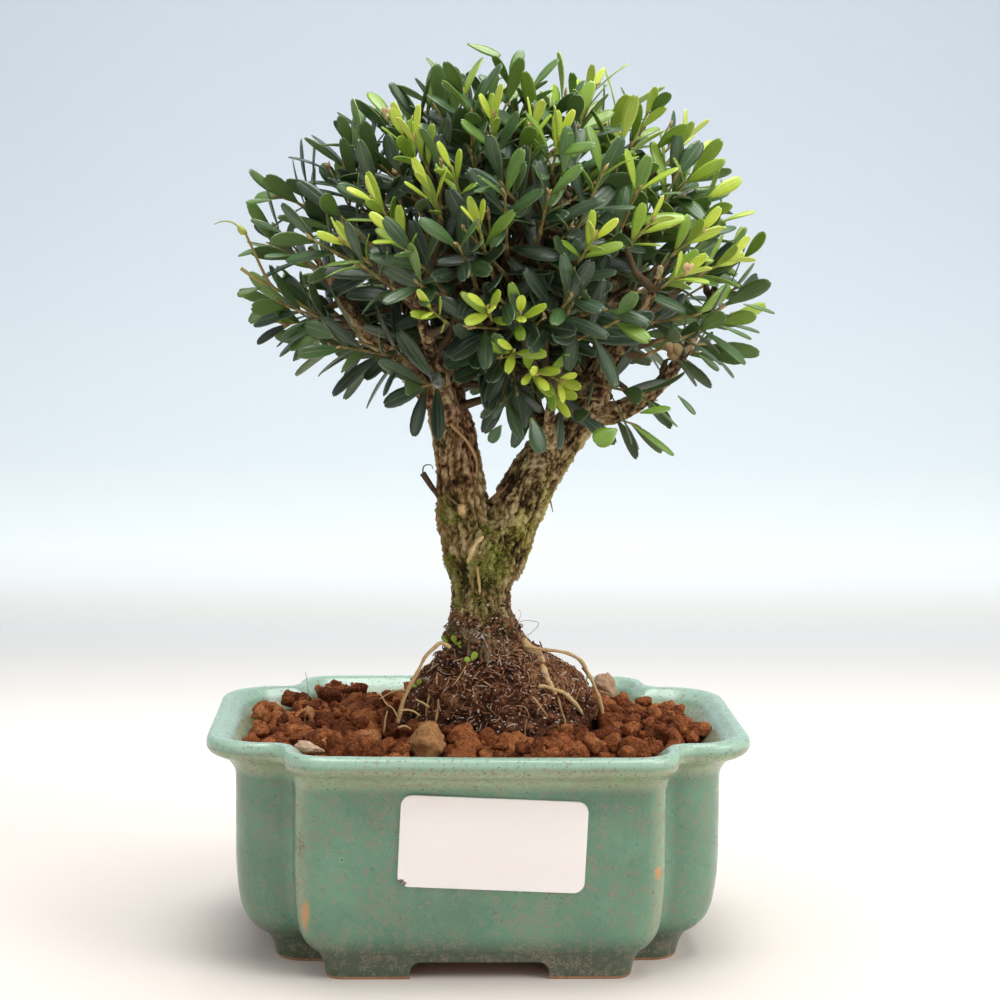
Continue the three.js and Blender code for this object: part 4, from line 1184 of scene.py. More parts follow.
# Fine roots and dead wood. Each line is x and z as seen, the radius at its start and at its end, how
# proud of the surface it runs, and its tone.
LINES_ON_BARK = [
    ([(-8.6, 147.0), (-5.2, 143.6), (-3.0, 141.0), (-1.2, 137.5), (-0.8, 134.5), (-0.9, 131.6)],
     0.5, 0.3, 0.25, 0.66),
    ([(-5.4, 151.3), (-5.2, 149.2), (-5.6, 147.8), (-7.2, 147.5)], 0.36, 0.22, 0.35, 0.5),
    ([(1.4, 114.6), (-0.4, 113.0), (-1.7, 110.3), (-2.7, 106.7)], 0.5, 0.66, 0.2, 0.92),
    ([(-0.3, 106.1), (0.3, 102.1), (0.7, 97.8)], 0.5, 0.3, 0.2, 0.84),
    ([(-9.1, 126.4), (-7.2, 124.6), (-4.9, 122.6)], 0.3, 0.4, 0.2, 0.36),
]
LINES_ON_MOUND = [
    ([(12.4, 84.6), (14.6, 82.3), (18.0, 80.0), (19.0, 75.6), (21.5, 71.1), (22.6, 69.0)],
     1.5, 0.5, 0.4, 0.86),
    ([(17.0, 71.2), (19.6, 71.0), (21.9, 70.5), (24.9, 69.2), (27.2, 67.2), (30.3, 63.1)],
     0.6, 0.66, 0.7, 0.86),
    ([(15.4, 68.6), (17.4, 66.0), (20.4, 62.1)], 0.36, 0.24, 0.6, 0.7),
    ([(22.9, 67.9), (23.6, 66.2), (24.4, 63.2), (25.5, 60.0)], 0.42, 0.3, 0.6, 0.6),
    ([(-11.2, 83.9), (-13.9, 80.2), (-16.9, 75.7), (-18.8, 72.2), (-21.2, 68.2), (-22.6, 62.4)],
     0.5, 0.42, 0.6, 0.8),
    ([(-13.3, 68.9), (-13.7, 66.5), (-14.3, 61.8)], 0.34, 0.26, 0.5, 0.6),
    ([(-10.5, 67.6), (-10.9, 64.4), (-11.5, 60.4)], 0.3, 0.24, 0.5, 0.66),
    ([(-10.8, 77.7), (-12.3, 76.5), (-14.4, 74.7)], 0.26, 0.2, 0.5, 0.75),
    ([(-11.0, 74.9), (-11.5, 73.4), (-11.1, 71.5)], 0.26, 0.2, 0.5, 0.75),
    ([(-15.8, 63.4), (-17.6, 60.4), (-20.0, 57.7)], 0.34, 0.24, 0.5, 0.5),
    ([(14.5, 82.5), (17.5, 79.9), (22.5, 78.8), (27.6, 76.6)], 0.5, 0.26, 0.35, 0.6),
    ([(-1.8, 79.2), (-3.4, 77.0), (-4.6, 74.2), (-6.9, 71.0)], 0.2, 0.16, 0.8, 0.9),
]


# Roots that stand off the root ball, as seen, with the depth and both radii
FREE_ROOTS = [
    ([(13.2, 83.2), (15.3, 82.8), (19.1, 82.0), (23.5, 81.5), (26.6, 80.7), (29.7, 78.8), (31.6, 75.7),
      (33.2, 72.8), (34.8, 68.9), (36.0, 65.2), (36.4, 62.4)], -7, 0.4, 0.62),
    ([(-7.6, 82.4), (-10.3, 83.8), (-12.3, 82.4), (-14.9, 79.7), (-16.9, 75.5), (-18.6, 72.4), (-21.2, 66.6),
      (-22.4, 61.4), (-24.0, 57.4)], -10, 0.6, 0.5),
    ([(-17.6, 67.3), (-15.6, 66.4), (-13.6, 65.0)], -17, 0.26, 0.34),
    ([(-22.0, 64.0), (-20.0, 64.3), (-18.0, 63.8), (-16.4, 62.6)], -18, 0.3, 0.26),
    ([(-22.6, 59.0), (-20.6, 59.6), (-18.6, 58.4)], -19, 0.3, 0.24),
    ([(-25.6, 64.0), (-26.3, 61.0), (-26.5, 57.6)], -15, 0.18, 0.32),
    ([(-28.0, 67.4), (-25.6, 68.8), (-23.2, 69.8), (-20.0, 70.0)], -8, 0.16, 0.34),
    ([(-28.3, 69.5), (-27.2, 68.2), (-26.0, 66.1), (-24.0, 64.6), (-22.6, 62.0)], -12, 0.16, 0.3),
    ([(35.0, 69.9), (37.2, 69.4), (39.4, 68.5)], -4, 0.22, 0.1),
]


def root_skin():
    s = Shader("root_skin", Roughness=0.7)
    fine = s.noise(1.2, 5, 0.65)
    tone = s.plus(s.mark("tone"), s.times(s.minus(fine, 0.5), 0.6))
    s.set("Base Color", s.ramp(
        tone, (0.0, rgb(48, 34, 24)), (0.35, rgb(104, 74, 50)), (0.7, rgb(190, 150, 98)),
        (1.0, rgb(230, 197, 142)),
    ))
    s.set("Normal", s.bump(fine, 0.5, 1.0))
    return s.material


def line_over(tree, seen, proud):
    """Points on a surface along a line of places as seen, lifted a little off it."""
    result = []
    for x, z in smoothed(seen, 4):
        place = seen_on(tree, x, z)
        if place:
            result.append(place[0] + place[1] * proud)
    line = np.array(result)
    middle = (line[:-2] + line[2:] + line[1:-1]) / 3
    return np.vstack([line[:1], middle, line[-1:]]) if len(line) > 3 else line


def make_fine_roots(bark_tree, mound_tree):
    draw = mulberry32(64)
    shape = Shape()
    for tree, lines in ((bark_tree, LINES_ON_BARK), (mound_tree, LINES_ON_MOUND)):
        for seen, start, end, proud, tone in lines:
            line = line_over(tree, seen, proud)
            radii = np.linspace(start, end, len(line)) * (1 + 0.3 * fractal(line, 1.6, 2, 9))
            radii[0] *= 0.3
            radii[-1] *= 0.3
            shape.add(*tube(line, radii, 8), tone=tone + 0.12 * draw())
    for seen, depth, start, end in FREE_ROOTS:
        line = smoothed([tip_seen_at(x, z, depth) for x, z in seen], 5)
        radii = np.linspace(start, end, len(line)) * (1 + 0.25 * fractal(line, 2.4, 2, 9))
        radii[[0, -1]] *= 0.45
        shape.add(*tube(line, radii, 8), tone=0.78 + 0.14 * draw())
    hairs = [
        [(11.0, -3, 90.2), (13.6, -3.6, 91.0), (17.3, -4, 90.3), (14.7, -4, 87.2), (12.5, -3, 86.8)],
        [(10.5, -2, 88.5), (12.2, -3.5, 92.6), (11.4, -4, 94.2)],
        [(-46.9, -34, 61), (-47.6, -36, 68), (-46.6, -36, 76), (-47.4, -35, 82)],
    ]
    for knots in hairs:
        line = smoothed(knots, 5)
        shape.add(*tube(line, np.full(len(line), 0.07), 4), tone=0.5)
    return add_piece("fine_roots", shape, root_skin(), "bark")


def make_dead_stub(bark_tree):
    """The dead twig at the left with its curled thread, and the pruned end in the fork."""
    shape = Shape()
    foot = seen_on(bark_tree, -11.6, 126.4)[0]
    tip = foot + np.array([-4.4, -0.6, 6.2])
    line = smoothed([foot + (1.0, 0.5, -1.2), foot, foot + (-1.6, -0.3, 2.0), tip], 4)
    radii = np.interp(np.arange(len(line)), (0, 6, len(line) - 1), (1.1, 0.75, 0.95))
    shape.add(*tube(line, radii, 10), tone=0.2)
    curl = [(0, 0, 0), (0.2, -0.3, 1.8), (1.4, -0.5, 2.5), (2.6, -0.4, 2.2), (2.9, -0.2, 1.2)]
    line = smoothed([tip + step for step in curl], 5)
    shape.add(*tube(line, np.linspace(0.22, 0.1, len(line)), 5), tone=0.1)
    end, facing = seen_on(bark_tree, -4.6, 122.3)
    knob = [end - facing, end + facing * 0.5, end + facing * 0.8, end + facing * 0.6, end + facing * 0.75]
    shape.add(*tube(knob, (1.6, 1.4, 1.0, 0.7, 0.3), 12), tone=0.92)
    sliver = [tip_seen_at(18.6, 127.6, -2), tip_seen_at(20.2, 125.2, -2), tip_seen_at(21.1, 121.7, -2)]
    line = smoothed(sliver, 3)
    shape.add(*tube(line, np.linspace(0.5, 0.12, len(line)), 5), tone=0.5)
    fibres = [((3.7, 126.2), (8.2, 131.8)), ((4.4, 125.6), (8.6, 129.8)), ((3.0, 125.0), (6.6, 128.6))]
    for low, high in fibres:
        a, b = seen_on(bark_tree, *low), seen_on(bark_tree, *high)
        if a and b:
            middle = (a[0] + b[0]) / 2 + (0, -1.6, 0.2)
            line = smoothed([a[0], middle, b[0]], 4)
            shape.add(*tube(line, np.linspace(0.4, 0.16, len(line)), 5), tone=0.55)
    return add_piece("dead_twigs", shape, root_skin(), "bark")


# Crown
def crown_share(offset, height):
    """How far out a place is, as a share of the crown's reach; height is the reach up or down."""
    return math.sqrt((offset[0] / CROWN_X) ** 2 + (offset[1] / CROWN_Y) ** 2 + (offset[2] / height) ** 2)


def crown_reach(direction):
    return 1 / crown_share(direction, CROWN_UP if direction[2] > 0 else CROWN_DOWN)


def tip_seen_at(x, z, depth=None):
    """The point of the crown's front, or at a given depth, that is seen at x, z."""
    y = 0.0 if depth is None else depth
    for _ in range(6 if depth is None else 0):
        near = (y - EYE[1]) / -EYE[1]
        px = EYE[0] + (x - EYE[0]) * near - CROWN_CENTRE[0]
        pz = EYE[2] + (z - EYE[2]) * near - CROWN_CENTRE[2]
        left = 1 - (px / CROWN_X) ** 2 - (pz / (CROWN_UP if pz > 0 else CROWN_DOWN)) ** 2
        y = -CROWN_Y * math.sqrt(max(0.0, left))
    near = (y - EYE[1]) / -EYE[1]
    return np.array([EYE[0] + (x - EYE[0]) * near, y, EYE[2] + (z - EYE[2]) * near])


GOLDEN = math.pi * (3 - math.sqrt(5))


def back_tips(count):
    """Tips spread over the back of the crown by the golden angle."""
    for i in range(count):
        height = 0.9 - (1.25 * (i + 0.5)) / count
        turn = ((i * GOLDEN) % math.pi) * 0.94 + 0.1
        flat = math.sqrt(1 - height * height)
        direction = np.array([flat * math.cos(turn), flat * math.sin(turn), height])
        yield CROWN_CENTRE + direction * crown_reach(direction)


class Sticks:
    """Straight pieces of wood, each with its owner and whether it is a leafy stem."""

    def __init__(self):
        self.rows = []
        self.array = None

    def add(self, a, b, radius, owner=-1, is_stem=False):
        self.rows.append([*a, *b, radius, owner, is_stem])
        self.array = None

    def table(self):
        if self.array is None:
            self.array = np.array(self.rows, float)
        return self.array

    def away(self, points, keep=None):
        """The clear distance of each point to each stick."""
        rows = self.table() if keep is None else self.table()[keep]
        start, along = rows[:, 0:3], rows[:, 3:6] - rows[:, 0:3]
        offset = points[:, None] - start[None]
        share = (offset * along).sum(2) / (along * along).sum(1)
        share = np.clip(share, 0, 1)[:, :, None]
        return np.linalg.norm(offset - share * along, axis=2) - rows[:, 6]


def skeleton():
    sticks = Sticks()
    for knots in [*LIMBS, *BRANCHES]:
        line = smoothed(knots, 3)
        for a, b in zip(line[:-1], line[1:]):
            sticks.add(a[:3], b[:3], a[3])
    return sticks


def shoot_at(tip, kind, branches):
    """A shoot points outward and a little up, and starts further out where a branch is in its way."""
    direction = unit(unit(tip - CROWN_CENTRE) * 0.8 + UP * 0.32)
    stem = kind["stem"]
    base = tip - direction * kind["reach"]
    while stem > 8:
        checks = base + np.outer([0, 0.33, 0.66, 1], direction) * stem
        if not (branches.away(checks) < STEM_CLEARANCE).any():
            break
        base = base + direction * 1.5
        stem -= 1.5
    return {"kind": kind, "direction": direction, "base": base, "stem": stem, "bare": 2, "forks": []}


def fork_from(shoot, tip):
    """A fork starts inside the foot of its shoot and is bare up to its last leaves."""
    base = shoot["base"] + shoot["direction"] * FORK_FOOT
    way = np.array(tip, float) - base
    length = math.sqrt(float(way @ way))
    stem = length - FORK_LEAD
    return {
        "kind": FORK_SHOOT, "direction": way / length, "base": base, "stem": stem,
        "bare": stem - FORK_LEAFY, "forks": [],
    }


def twig_to(shoot, branches, stems):
    """The twig from the best place on a branch to the foot of a shoot, clear of other shoots' stems."""
    best = None
    direction = shoot["direction"]
    end = shoot["base"] - direction * TWIG_GAP
    for start in branches.table()[:, 3:6]:
        back = end - start
        length = math.sqrt(float(back @ back))
        middle = (start + end) / 2 - direction * 0.14 * length
        cost = length * (1.6 - float(back @ direction) / length)
        if best and cost >= best[0]:
            continue
        if stems is not None:
            checks = [
                a + (b - a) * t for t in (0.25, 0.5, 0.75, 1) for a, b in ((start, middle), (middle, end))
            ]
            if (stems.away(np.array(checks)) < STEM_CLEARANCE).any():
                cost += 500
        if not best or cost < best[0]:
            best = (cost, start, middle, end)
    return best[1:]


def leaves_of(shoot, seed):
    """Opposite pairs up the stem, each turned a quarter from the last, and a closed pair at its end."""
    draw = mulberry32(seed)
    kind, direction, base, stem = shoot["kind"], shoot["direction"], shoot["base"], shoot["stem"]
    reference = np.array([1.0, 0, 0]) if abs(direction[2]) > 0.95 else UP
    first = unit(cross(direction, reference))
    second = cross(direction, first)
    start = draw() * math.pi

    def turned(angle):
        return first * math.cos(angle) + second * math.sin(angle)

    leaves = []
    for pair in range(kind["pairs"] + 1):
        t = pair / kind["pairs"]
        height = shoot["bare"] + (stem - 0.8 - shoot["bare"]) * t
        for side in range(2):
            face = (pair + 2 * side) % 4
            away = turned(start + face * (math.pi / 2) + (draw() - 0.5) * 0.5)
            opened = math.radians(kind["spread"] + (kind["close"] - kind["spread"]) * t + (draw() - 0.5) * 16)
            length = kind["leaf"] * (0.92 + 0.16 * draw()) * (1 - 0.2 * t)
            along = direction * math.cos(opened) + away * math.sin(opened)
            facing = unit(direction - along * (direction @ along))
            aside = turned(start + face * (math.pi / 2)) * kind["radius"] * DIAGONAL
            at = base + direction * height + aside
            leaves.append({
                "at": at, "along": along, "facing": facing, "length": length, "share": t,
                "width": kind["width"] * (1 - 0.14 * t), "bend": 0.06 + 0.1 * draw(),
            })
    return leaves


MOST_LEAVES = 4000
PROBES = np.array([
    (0.3, 0), (0.55, 0), (0.8, 0), (1, 0), (0.5, 0.38), (0.5, -0.38), (0.8, 0.42), (0.8, -0.42),
])


def probes_of(leaf):
    side = cross(leaf["facing"], leaf["along"])
    t, across = PROBES[:, 0:1], PROBES[:, 1:2]
    return (
        leaf["at"] + leaf["along"] * leaf["length"] * t + side * leaf["width"] * across
        - leaf["facing"] * leaf["length"] * leaf["bend"] * t * t
    )


class Foliage:
    """The leaves so far, for keeping new ones clear of them and of the wood."""

    def __init__(self, wood):
        self.wood = wood
        self.probes = np.zeros((MOST_LEAVES, len(PROBES), 3))
        self.owners = np.full(MOST_LEAVES, -1)
        self.count = 0

    def take(self, leaf, owner, between, off_wood):
        """Whether the leaf is clear; it is kept if so."""
        probes = probes_of(leaf)
        known = self.probes[:self.count]
        near = (self.owners[:self.count] != owner) & (np.linalg.norm(known[:, 1] - probes[1], axis=1) <= 26)
        if near.any():
            others = known[near].reshape(-1, 3)
            gaps = np.linalg.norm(others[:, None] - probes[None], axis=2)
            if (gaps < between).any():
                return False
        rows = self.wood.table()
        own = rows[:, 7] == owner
        away = self.wood.away(probes)
        away[:, own & (rows[:, 8] > 0)] = 99
        away[0, own] = 99
        if (away < off_wood).any():
            return False
        self.probes[self.count] = probes
        self.owners[self.count] = owner
        self.count += 1
        return True


def plan_crown():
    """All shoots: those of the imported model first, with the same draws, and then the fill."""
    branches = skeleton()
    wanted = [(tip_seen_at(*tip), OLD_SHOOT) for tip in OLD_TIPS]
    wanted += [(tip_seen_at(*tip), YOUNG_SHOOT) for tip in YOUNG_TIPS]
    wanted += [(tip, OLD_SHOOT) for tip in back_tips(BACK_SHOOTS)]
    shoots = [shoot_at(tip, kind, branches) for tip, kind in wanted]
    wood = skeleton()
    for owner, shoot in enumerate(shoots):
        end = shoot["base"] + shoot["direction"] * shoot["stem"]
        wood.add(shoot["base"], end, shoot["kind"]["radius"], owner, True)
    packed_stems = wood.table()[wood.table()[:, 8] > 0]
    for owner, shoot in enumerate(shoots):
        stems = Sticks()
        stems.rows = packed_stems[packed_stems[:, 7] != owner].tolist()
        shoot["twig"] = twig_to(shoot, branches, stems)
    for owner, shoot in enumerate(shoots):
        start, middle, end = shoot["twig"]
        wood.add(start, middle, 1.3, owner)
        wood.add(middle, end, 1.1, owner)
    forks = []
    for number, tip in FORKS:
        fork = fork_from(shoots[number], tip)
        shoots[number]["forks"].append(fork)
        forks.append(fork)
    for i, fork in enumerate(forks):
        ends = [fork["base"] + fork["direction"] * height for height in (3, fork["stem"])]
        wood.add(*ends, fork["kind"]["radius"], len(shoots) + i, True)
    foliage = Foliage(wood)
    sprigs = shoots + forks
    for owner, shoot in enumerate(sprigs):
        leaves = leaves_of(shoot, 500 + 17 * owner)
        for leaf in leaves:
            leaf["kept"] = foliage.take(leaf, owner, LEAF_CLEARANCE, WOOD_CLEARANCE)
        shoot["leaves"] = leaves
    for owner, shoot in enumerate(sprigs):
        shoot["leaves"] = [
            leaf for leaf in shoot["leaves"]
            if leaf["kept"] or foliage.take(leaf, owner, FILL_CLEARANCE, FILL_WOOD_CLEARANCE)
        ]
    return shoots, fill_shoots(branches, foliage, len(sprigs))


def fill_tips(draw):
    """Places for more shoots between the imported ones: young, at the edge, outer and inner."""
    for tip in MORE_YOUNG_TIPS:
        yield tip_seen_at(*tip), YOUNG_SHOOT
    for x, z in EDGE_TIPS:
        yield tip_seen_at(x, z, 14 * draw() - 9), EDGE_SHOOT
    for count, kind, low, high in ((OUTER_FILL, OLD_SHOOT, 0.86, 1.0), (INNER_FILL, INNER_SHOOT, 0.54, 0.8)):
        for i in range(count):
            height = 1 - 1.8 * (i + 0.5) / count
            turn = i * GOLDEN + draw() * 0.6
            flat = math.sqrt(max(0.0, 1 - height * height))
            direction = unit(np.array([flat * math.cos(turn), flat * math.sin(turn), height]))
            reach = crown_reach(direction) * (low + (high - low) * draw())
            low_left = smoothstep(-direction[2], 0.1, 0.5) * smoothstep(-direction[0], 0.1, 0.5)
            reach *= 1 - 0.17 * float(low_left)
            tip = CROWN_CENTRE + direction * reach
            left_out = 0.2 if direction[0] < 0 else 0.5
            thinned = kind is OLD_SHOOT and abs(direction[0]) > 0.6 and draw() < left_out
            if not thinned and (direction[1] > 0.1 or not in_window(tip)):
                yield tip, kind


def in_window(point):
    """Whether a point at the front is seen through one of the windows."""
    far = -EYE[1] / (point[1] - EYE[1])
    x = EYE[0] + (point[0] - EYE[0]) * far
    z = EYE[2] + (point[2] - EYE[2]) * far
    return any((x - wx) ** 2 + (z - wz) ** 2 < (reach + 3) ** 2 for wx, wz, reach in WINDOWS)


def fill_shoots(branches, foliage, owners):
    draw = mulberry32(4711)
    shoots = []
    for number, (tip, kind) in enumerate(fill_tips(draw)):
        owner = owners + number
        shoot = shoot_at(tip, kind, branches)
        if kind is not YOUNG_SHOOT:
            sway = toss(draw) * 0.7
            turned = unit(shoot["direction"] + sway)
            end = shoot["base"] + shoot["direction"] * shoot["stem"]
            shoot["direction"] = turned
            shoot["base"] = end - turned * shoot["stem"]
        leaves = leaves_of(shoot, 9000 + 31 * owner)
        shoot["leaves"] = [
            leaf for leaf in leaves if foliage.take(leaf, owner, FILL_CLEARANCE, FILL_WOOD_CLEARANCE)
        ]
        end = shoot["base"] + shoot["direction"] * (shoot["stem"] + 2)
        if len(shoot["leaves"]) < 2 or not in_box(np.array([shoot["base"], end])):
            continue
        shoot["twig"] = twig_to(shoot, branches, None)
        shoots.append(shoot)
    return shoots


def leaf_template():
    """Rows along the leaf and columns across it, for its upper and lower face, and their faces."""
    rows = np.array([0.0, 0.14, 0.3, 0.48, 0.66, 0.82, 0.94, 1.0])
    columns = np.array([-1.0, -0.5, 0.0, 0.5, 1.0])
    widest = 0.62
    rising = 0.12 + 0.88 * np.sin(np.pi / 2 * np.minimum(rows / widest, 1)) ** 1.2
    falling = np.sqrt(np.maximum(0, 1 - (np.maximum(rows - widest, 0) / (1.012 - widest)) ** 2.3))
    half = rising * falling
    t, u = np.meshgrid(rows, columns, indexing="ij")
    w = np.repeat(half[:, None], len(columns), axis=1)
    count, wide = t.size, len(columns)
    top, bottom, rim = [], [], []
    for r in range(len(rows) - 1):
        for c in range(wide - 1):
            a = r * wide + c
            top.append((a, a + 1, a + wide + 1, a + wide))
            bottom.append((count + a + wide, count + a + wide + 1, count + a + 1, count + a))
    border = [c for c in range(wide)]
    border += [r * wide + wide - 1 for r in range(1, len(rows))]
    border += [(len(rows) - 1) * wide + c for c in range(wide - 2, -1, -1)]
    border += [r * wide for r in range(len(rows) - 2, 0, -1)]
    for a, b in zip(border, border[1:] + border[:1]):
        rim.append((b, a, count + a, count + b))
    return t.ravel(), u.ravel(), w.ravel(), top + bottom + rim, len(top) + len(bottom)


LEAF_T, LEAF_U, LEAF_W, LEAF_FACES, LEAF_RIM_START = leaf_template()
LEAF_FLAT = range(LEAF_RIM_START, len(LEAF_FACES))
LEAF_SHEET = 0.26
# Leaves stay within this box, close to the outermost packed ones
CROWN_LOW = np.array([-76.0, -61.0, 60.0])
CROWN_HIGH = np.array([80.0, 62.0, 252.0])


def in_box(points):
    return bool(np.all(points > CROWN_LOW) and np.all(points < CROWN_HIGH))


def add_leaf(shape, leaf, tone, draw, fit):
    roll = (draw() - 0.5) * 0.9
    side = cross(leaf["facing"], leaf["along"])
    facing = leaf["facing"] * math.cos(roll) + side * math.sin(roll)
    side = cross(facing, leaf["along"])
    length = leaf["length"] * fit[0] * (0.84 + 0.2 * draw())
    half = leaf["width"] * fit[1] / 2 * (0.88 + 0.24 * draw())
    bend = leaf["bend"] + 0.12 * draw() - 0.02
    notch = 0.05 * draw() * (1 - np.abs(LEAF_U)) ** 2 * smoothstep(LEAF_T, 0.9, 1)
    t = (LEAF_T - notch)[:, None]
    across = (LEAF_U * LEAF_W * half)[:, None]
    fold = 0.05 + 0.16 * draw()
    curl = 0.1 + 0.1 * draw()
    twist = (draw() - 0.5) * 0.5
    lift = (fold * np.abs(LEAF_U) - curl * np.abs(LEAF_U) ** 3 + twist * LEAF_U * LEAF_T) * LEAF_W * half
    middle = (
        leaf["at"] + leaf["along"] * length * t + side * across
        + facing * (lift[:, None] - length * bend * t * t)
    )
    half_sheet = facing * LEAF_SHEET / 2
    points = np.vstack([middle + half_sheet, middle - half_sheet])
    if not in_box(points):
        return
    count = len(LEAF_T)
    under = np.repeat([0.0, 1.0], count)
    shape.add(
        points, LEAF_FACES, LEAF_FLAT, tone=tone, under=under,
        rib=np.tile(np.abs(LEAF_U), 2), along=np.tile(LEAF_T, 2),
    )


def leaf_green(name):
    s = Shader(name, Coat_Weight=0.3, Coat_Roughness=0.3)
    tone, under, rib, along = s.mark("tone"), s.mark("under"), s.mark("rib"), s.mark("along")
    patch = s.noise(5, 4, 0.6)
    shade = s.plus(tone, s.times(s.minus(patch, 0.5), 0.2))
    upper = s.ramp(
        shade, (0.0, rgb(28, 44, 32)), (0.2, rgb(48, 74, 48)), (0.38, rgb(76, 112, 56)),
        (0.6, rgb(124, 160, 44)), (0.8, rgb(170, 194, 50)), (1.0, rgb(212, 226, 84)),
    )
    # Lower faces are a paler yellow-green: partly their own colour, partly painted light as if shining
    # through the leaf
    lower = s.ramp(
        shade, (0.0, rgb(68, 92, 56)), (0.35, rgb(96, 128, 58)), (0.7, rgb(140, 176, 60)),
        (1.0, rgb(204, 218, 96)),
    )
    vein = s.steps(rib, 0.12, 0.02)
    edge = s.steps(rib, 0.92, 1.0)
    light = s.math("MAXIMUM", s.times(vein, 0.3), s.times(edge, 0.24))
    upper = s.mix(light, upper, s.mix(0.6, upper, rgb(176, 186, 120)))
    foot = s.steps(along, 0.2, 0.0, 0, 0.5)
    upper = s.mix(foot, upper, rgb(146, 152, 70))
    is_under = s.steps(under, 0.45, 0.55)
    s.set("Base Color", s.mix(is_under, upper, lower))
    s.set("Roughness", s.steps(under, 0.45, 0.55, 0.4, 0.6))
    ribs = s.plus(s.times(s.noise(0.7, 3), 0.35), s.times(vein, -0.8))
    s.set("Normal", s.bump(ribs, 0.14, 0.6))
    return s.material


def twig_skin():
    s = Shader("twig_skin", Roughness=0.75)
    uneven = s.times(s.minus(s.noise(2.0, 5, 0.65), 0.5), 0.5)
    colour = s.ramp(
        s.plus(s.mark("tone"), uneven), (0.0, rgb(54, 40, 26)), (0.3, rgb(116, 92, 58)),
        (0.6, rgb(134, 128, 62)), (1.0, rgb(166, 176, 78)),
    )
    s.set("Base Color", s.mix(s.mark("node"), colour, rgb(196, 166, 116)))
    s.set("Normal", s.bump(s.noise(1.0, 4), 0.2, 0.8))
    return s.material


def add_stem(shape, shoot, tone):
    """A shoot's stem with a small papery swelling at each pair of leaves."""
    kind = shoot["kind"]
    heights = np.linspace(-TWIG_GAP, shoot["stem"] + 0.4, 4 * kind["pairs"] + 5)
    leafy = shoot["stem"] - 0.8 - shoot["bare"]
    nodes = [shoot["bare"] + leafy * pair / kind["pairs"] for pair in range(kind["pairs"] + 1)]
    swelling = sum(np.exp(-((heights - node) / 0.9) ** 2) for node in nodes)
    radii = kind["radius"] * (0.6 - 0.26 * heights / shoot["stem"]) + 0.18 * swelling
    line = shoot["base"] + np.outer(heights, shoot["direction"])
    ages = np.repeat(np.clip(tone + heights / shoot["stem"] * 0.35, 0, 1), 5)
    papery = np.repeat(np.clip(swelling, 0, 1) * 0.75, 5)
    points, faces = tube(line, radii, 5)
    shape.add(points, faces, tone=np.append(ages, [ages[0], ages[-1]]), node=np.append(papery, [0, 0]))


def add_buds(shape, shoot, draw):
    """Small papery buds between the last leaves of a shoot."""
    end = shoot["base"] + shoot["direction"] * (shoot["stem"] + 0.2)
    for _ in range(int(4 * draw())):
        lean = unit(shoot["direction"] + 1.1 * toss(draw))
        reach = 1.4 + 1.2 * draw()
        bud = [end - lean * 0.3, end + lean * reach * 0.5, end + lean * reach]
        shape.add(*tube(bud, (0.32, 0.46, 0.1), 5), tone=0.6, node=0.7 + 0.3 * draw())


def shade_of(shoot, leaf, draw):
    """How young a leaf looks: 0 is a dark old leaf and 1 the brightest new growth. Part of it is painted
    light that makes leaves towards the upper right lighter.
    """
    if shoot["kind"] is YOUNG_SHOOT:
        return 0.58 + 0.3 * leaf["share"] + 0.14 * draw()
    outward = leaf["at"] - CROWN_CENTRE
    depth = crown_share(outward, CROWN_UP)
    tip = 0.3 * leaf["share"] ** 2 * smoothstep(depth, 0.55, 0.85)
    # Painted light: leaves towards the upper right are made lighter
    painted_lit_side = 0.78 * smoothstep(outward[0] + 1.3 * outward[2], 4, 92) * draw() ** 1.25
    return float(np.clip(0.02 + 0.25 * draw() ** 1.5 + tip * draw() * 1.4 + painted_lit_side, 0, 0.86))


# Single leaves as seen: both ends, the depth, the width and how young they look
LOOSE_LEAVES = [
    ((42.9, 147.1), (55.6, 139.4), -42, 2.6, 0.5), ((39.0, 145.5), (32.3, 141.6), -46, 6.2, 0.55),
    ((45.6, 150.2), (54.0, 152.3), -42, 4.8, 0.55), ((74.2, 181.2), (85.0, 179.4), -40, 1.9, 0.4),
    ((68.1, 174.9), (77.5, 172.3), -40, 1.9, 0.36), ((62.0, 166.7), (68.8, 162.5), -38, 1.9, 0.32),
    ((56.2, 155.2), (62.2, 149.8), -38, 1.9, 0.36), ((-58.6, 208.8), (-66.6, 208.4), -8, 1.6, 0.45),
    ((-55.4, 199.6), (-64.0, 203.6), -12, 2.0, 0.3), ((6.2, 146.4), (2.4, 140.8), -48, 3.4, 0.26),
    ((14.6, 148.6), (18.6, 138.0), -50, 5.4, 0.22), ((-4.6, 252.4), (4.6, 249.8), -10, 3.2, 0.5),
    ((-61.8, 184.4), (-69.2, 182.5), -10, 2.4, 0.42), ((-57.1, 181.9), (-66.3, 174.3), -10, 3.0, 0.4),
    ((-45.5, 175.5), (-56.2, 170.4), -10, 3.2, 0.36), ((-43.4, 172.2), (-53.9, 168.2), -12, 3.4, 0.42),
    ((-53.3, 193.5), (-61.8, 193.9), -12, 2.2, 0.36),
]


def loose_leaf(start, end, width):
    length = float(np.linalg.norm(end - start))
    along = (end - start) / length
    facing = np.array([0.1, -0.75, 0.65])
    facing = unit(facing - along * (facing @ along))
    return {"at": start, "along": along, "facing": facing, "length": length, "width": width, "bend": 0.08}


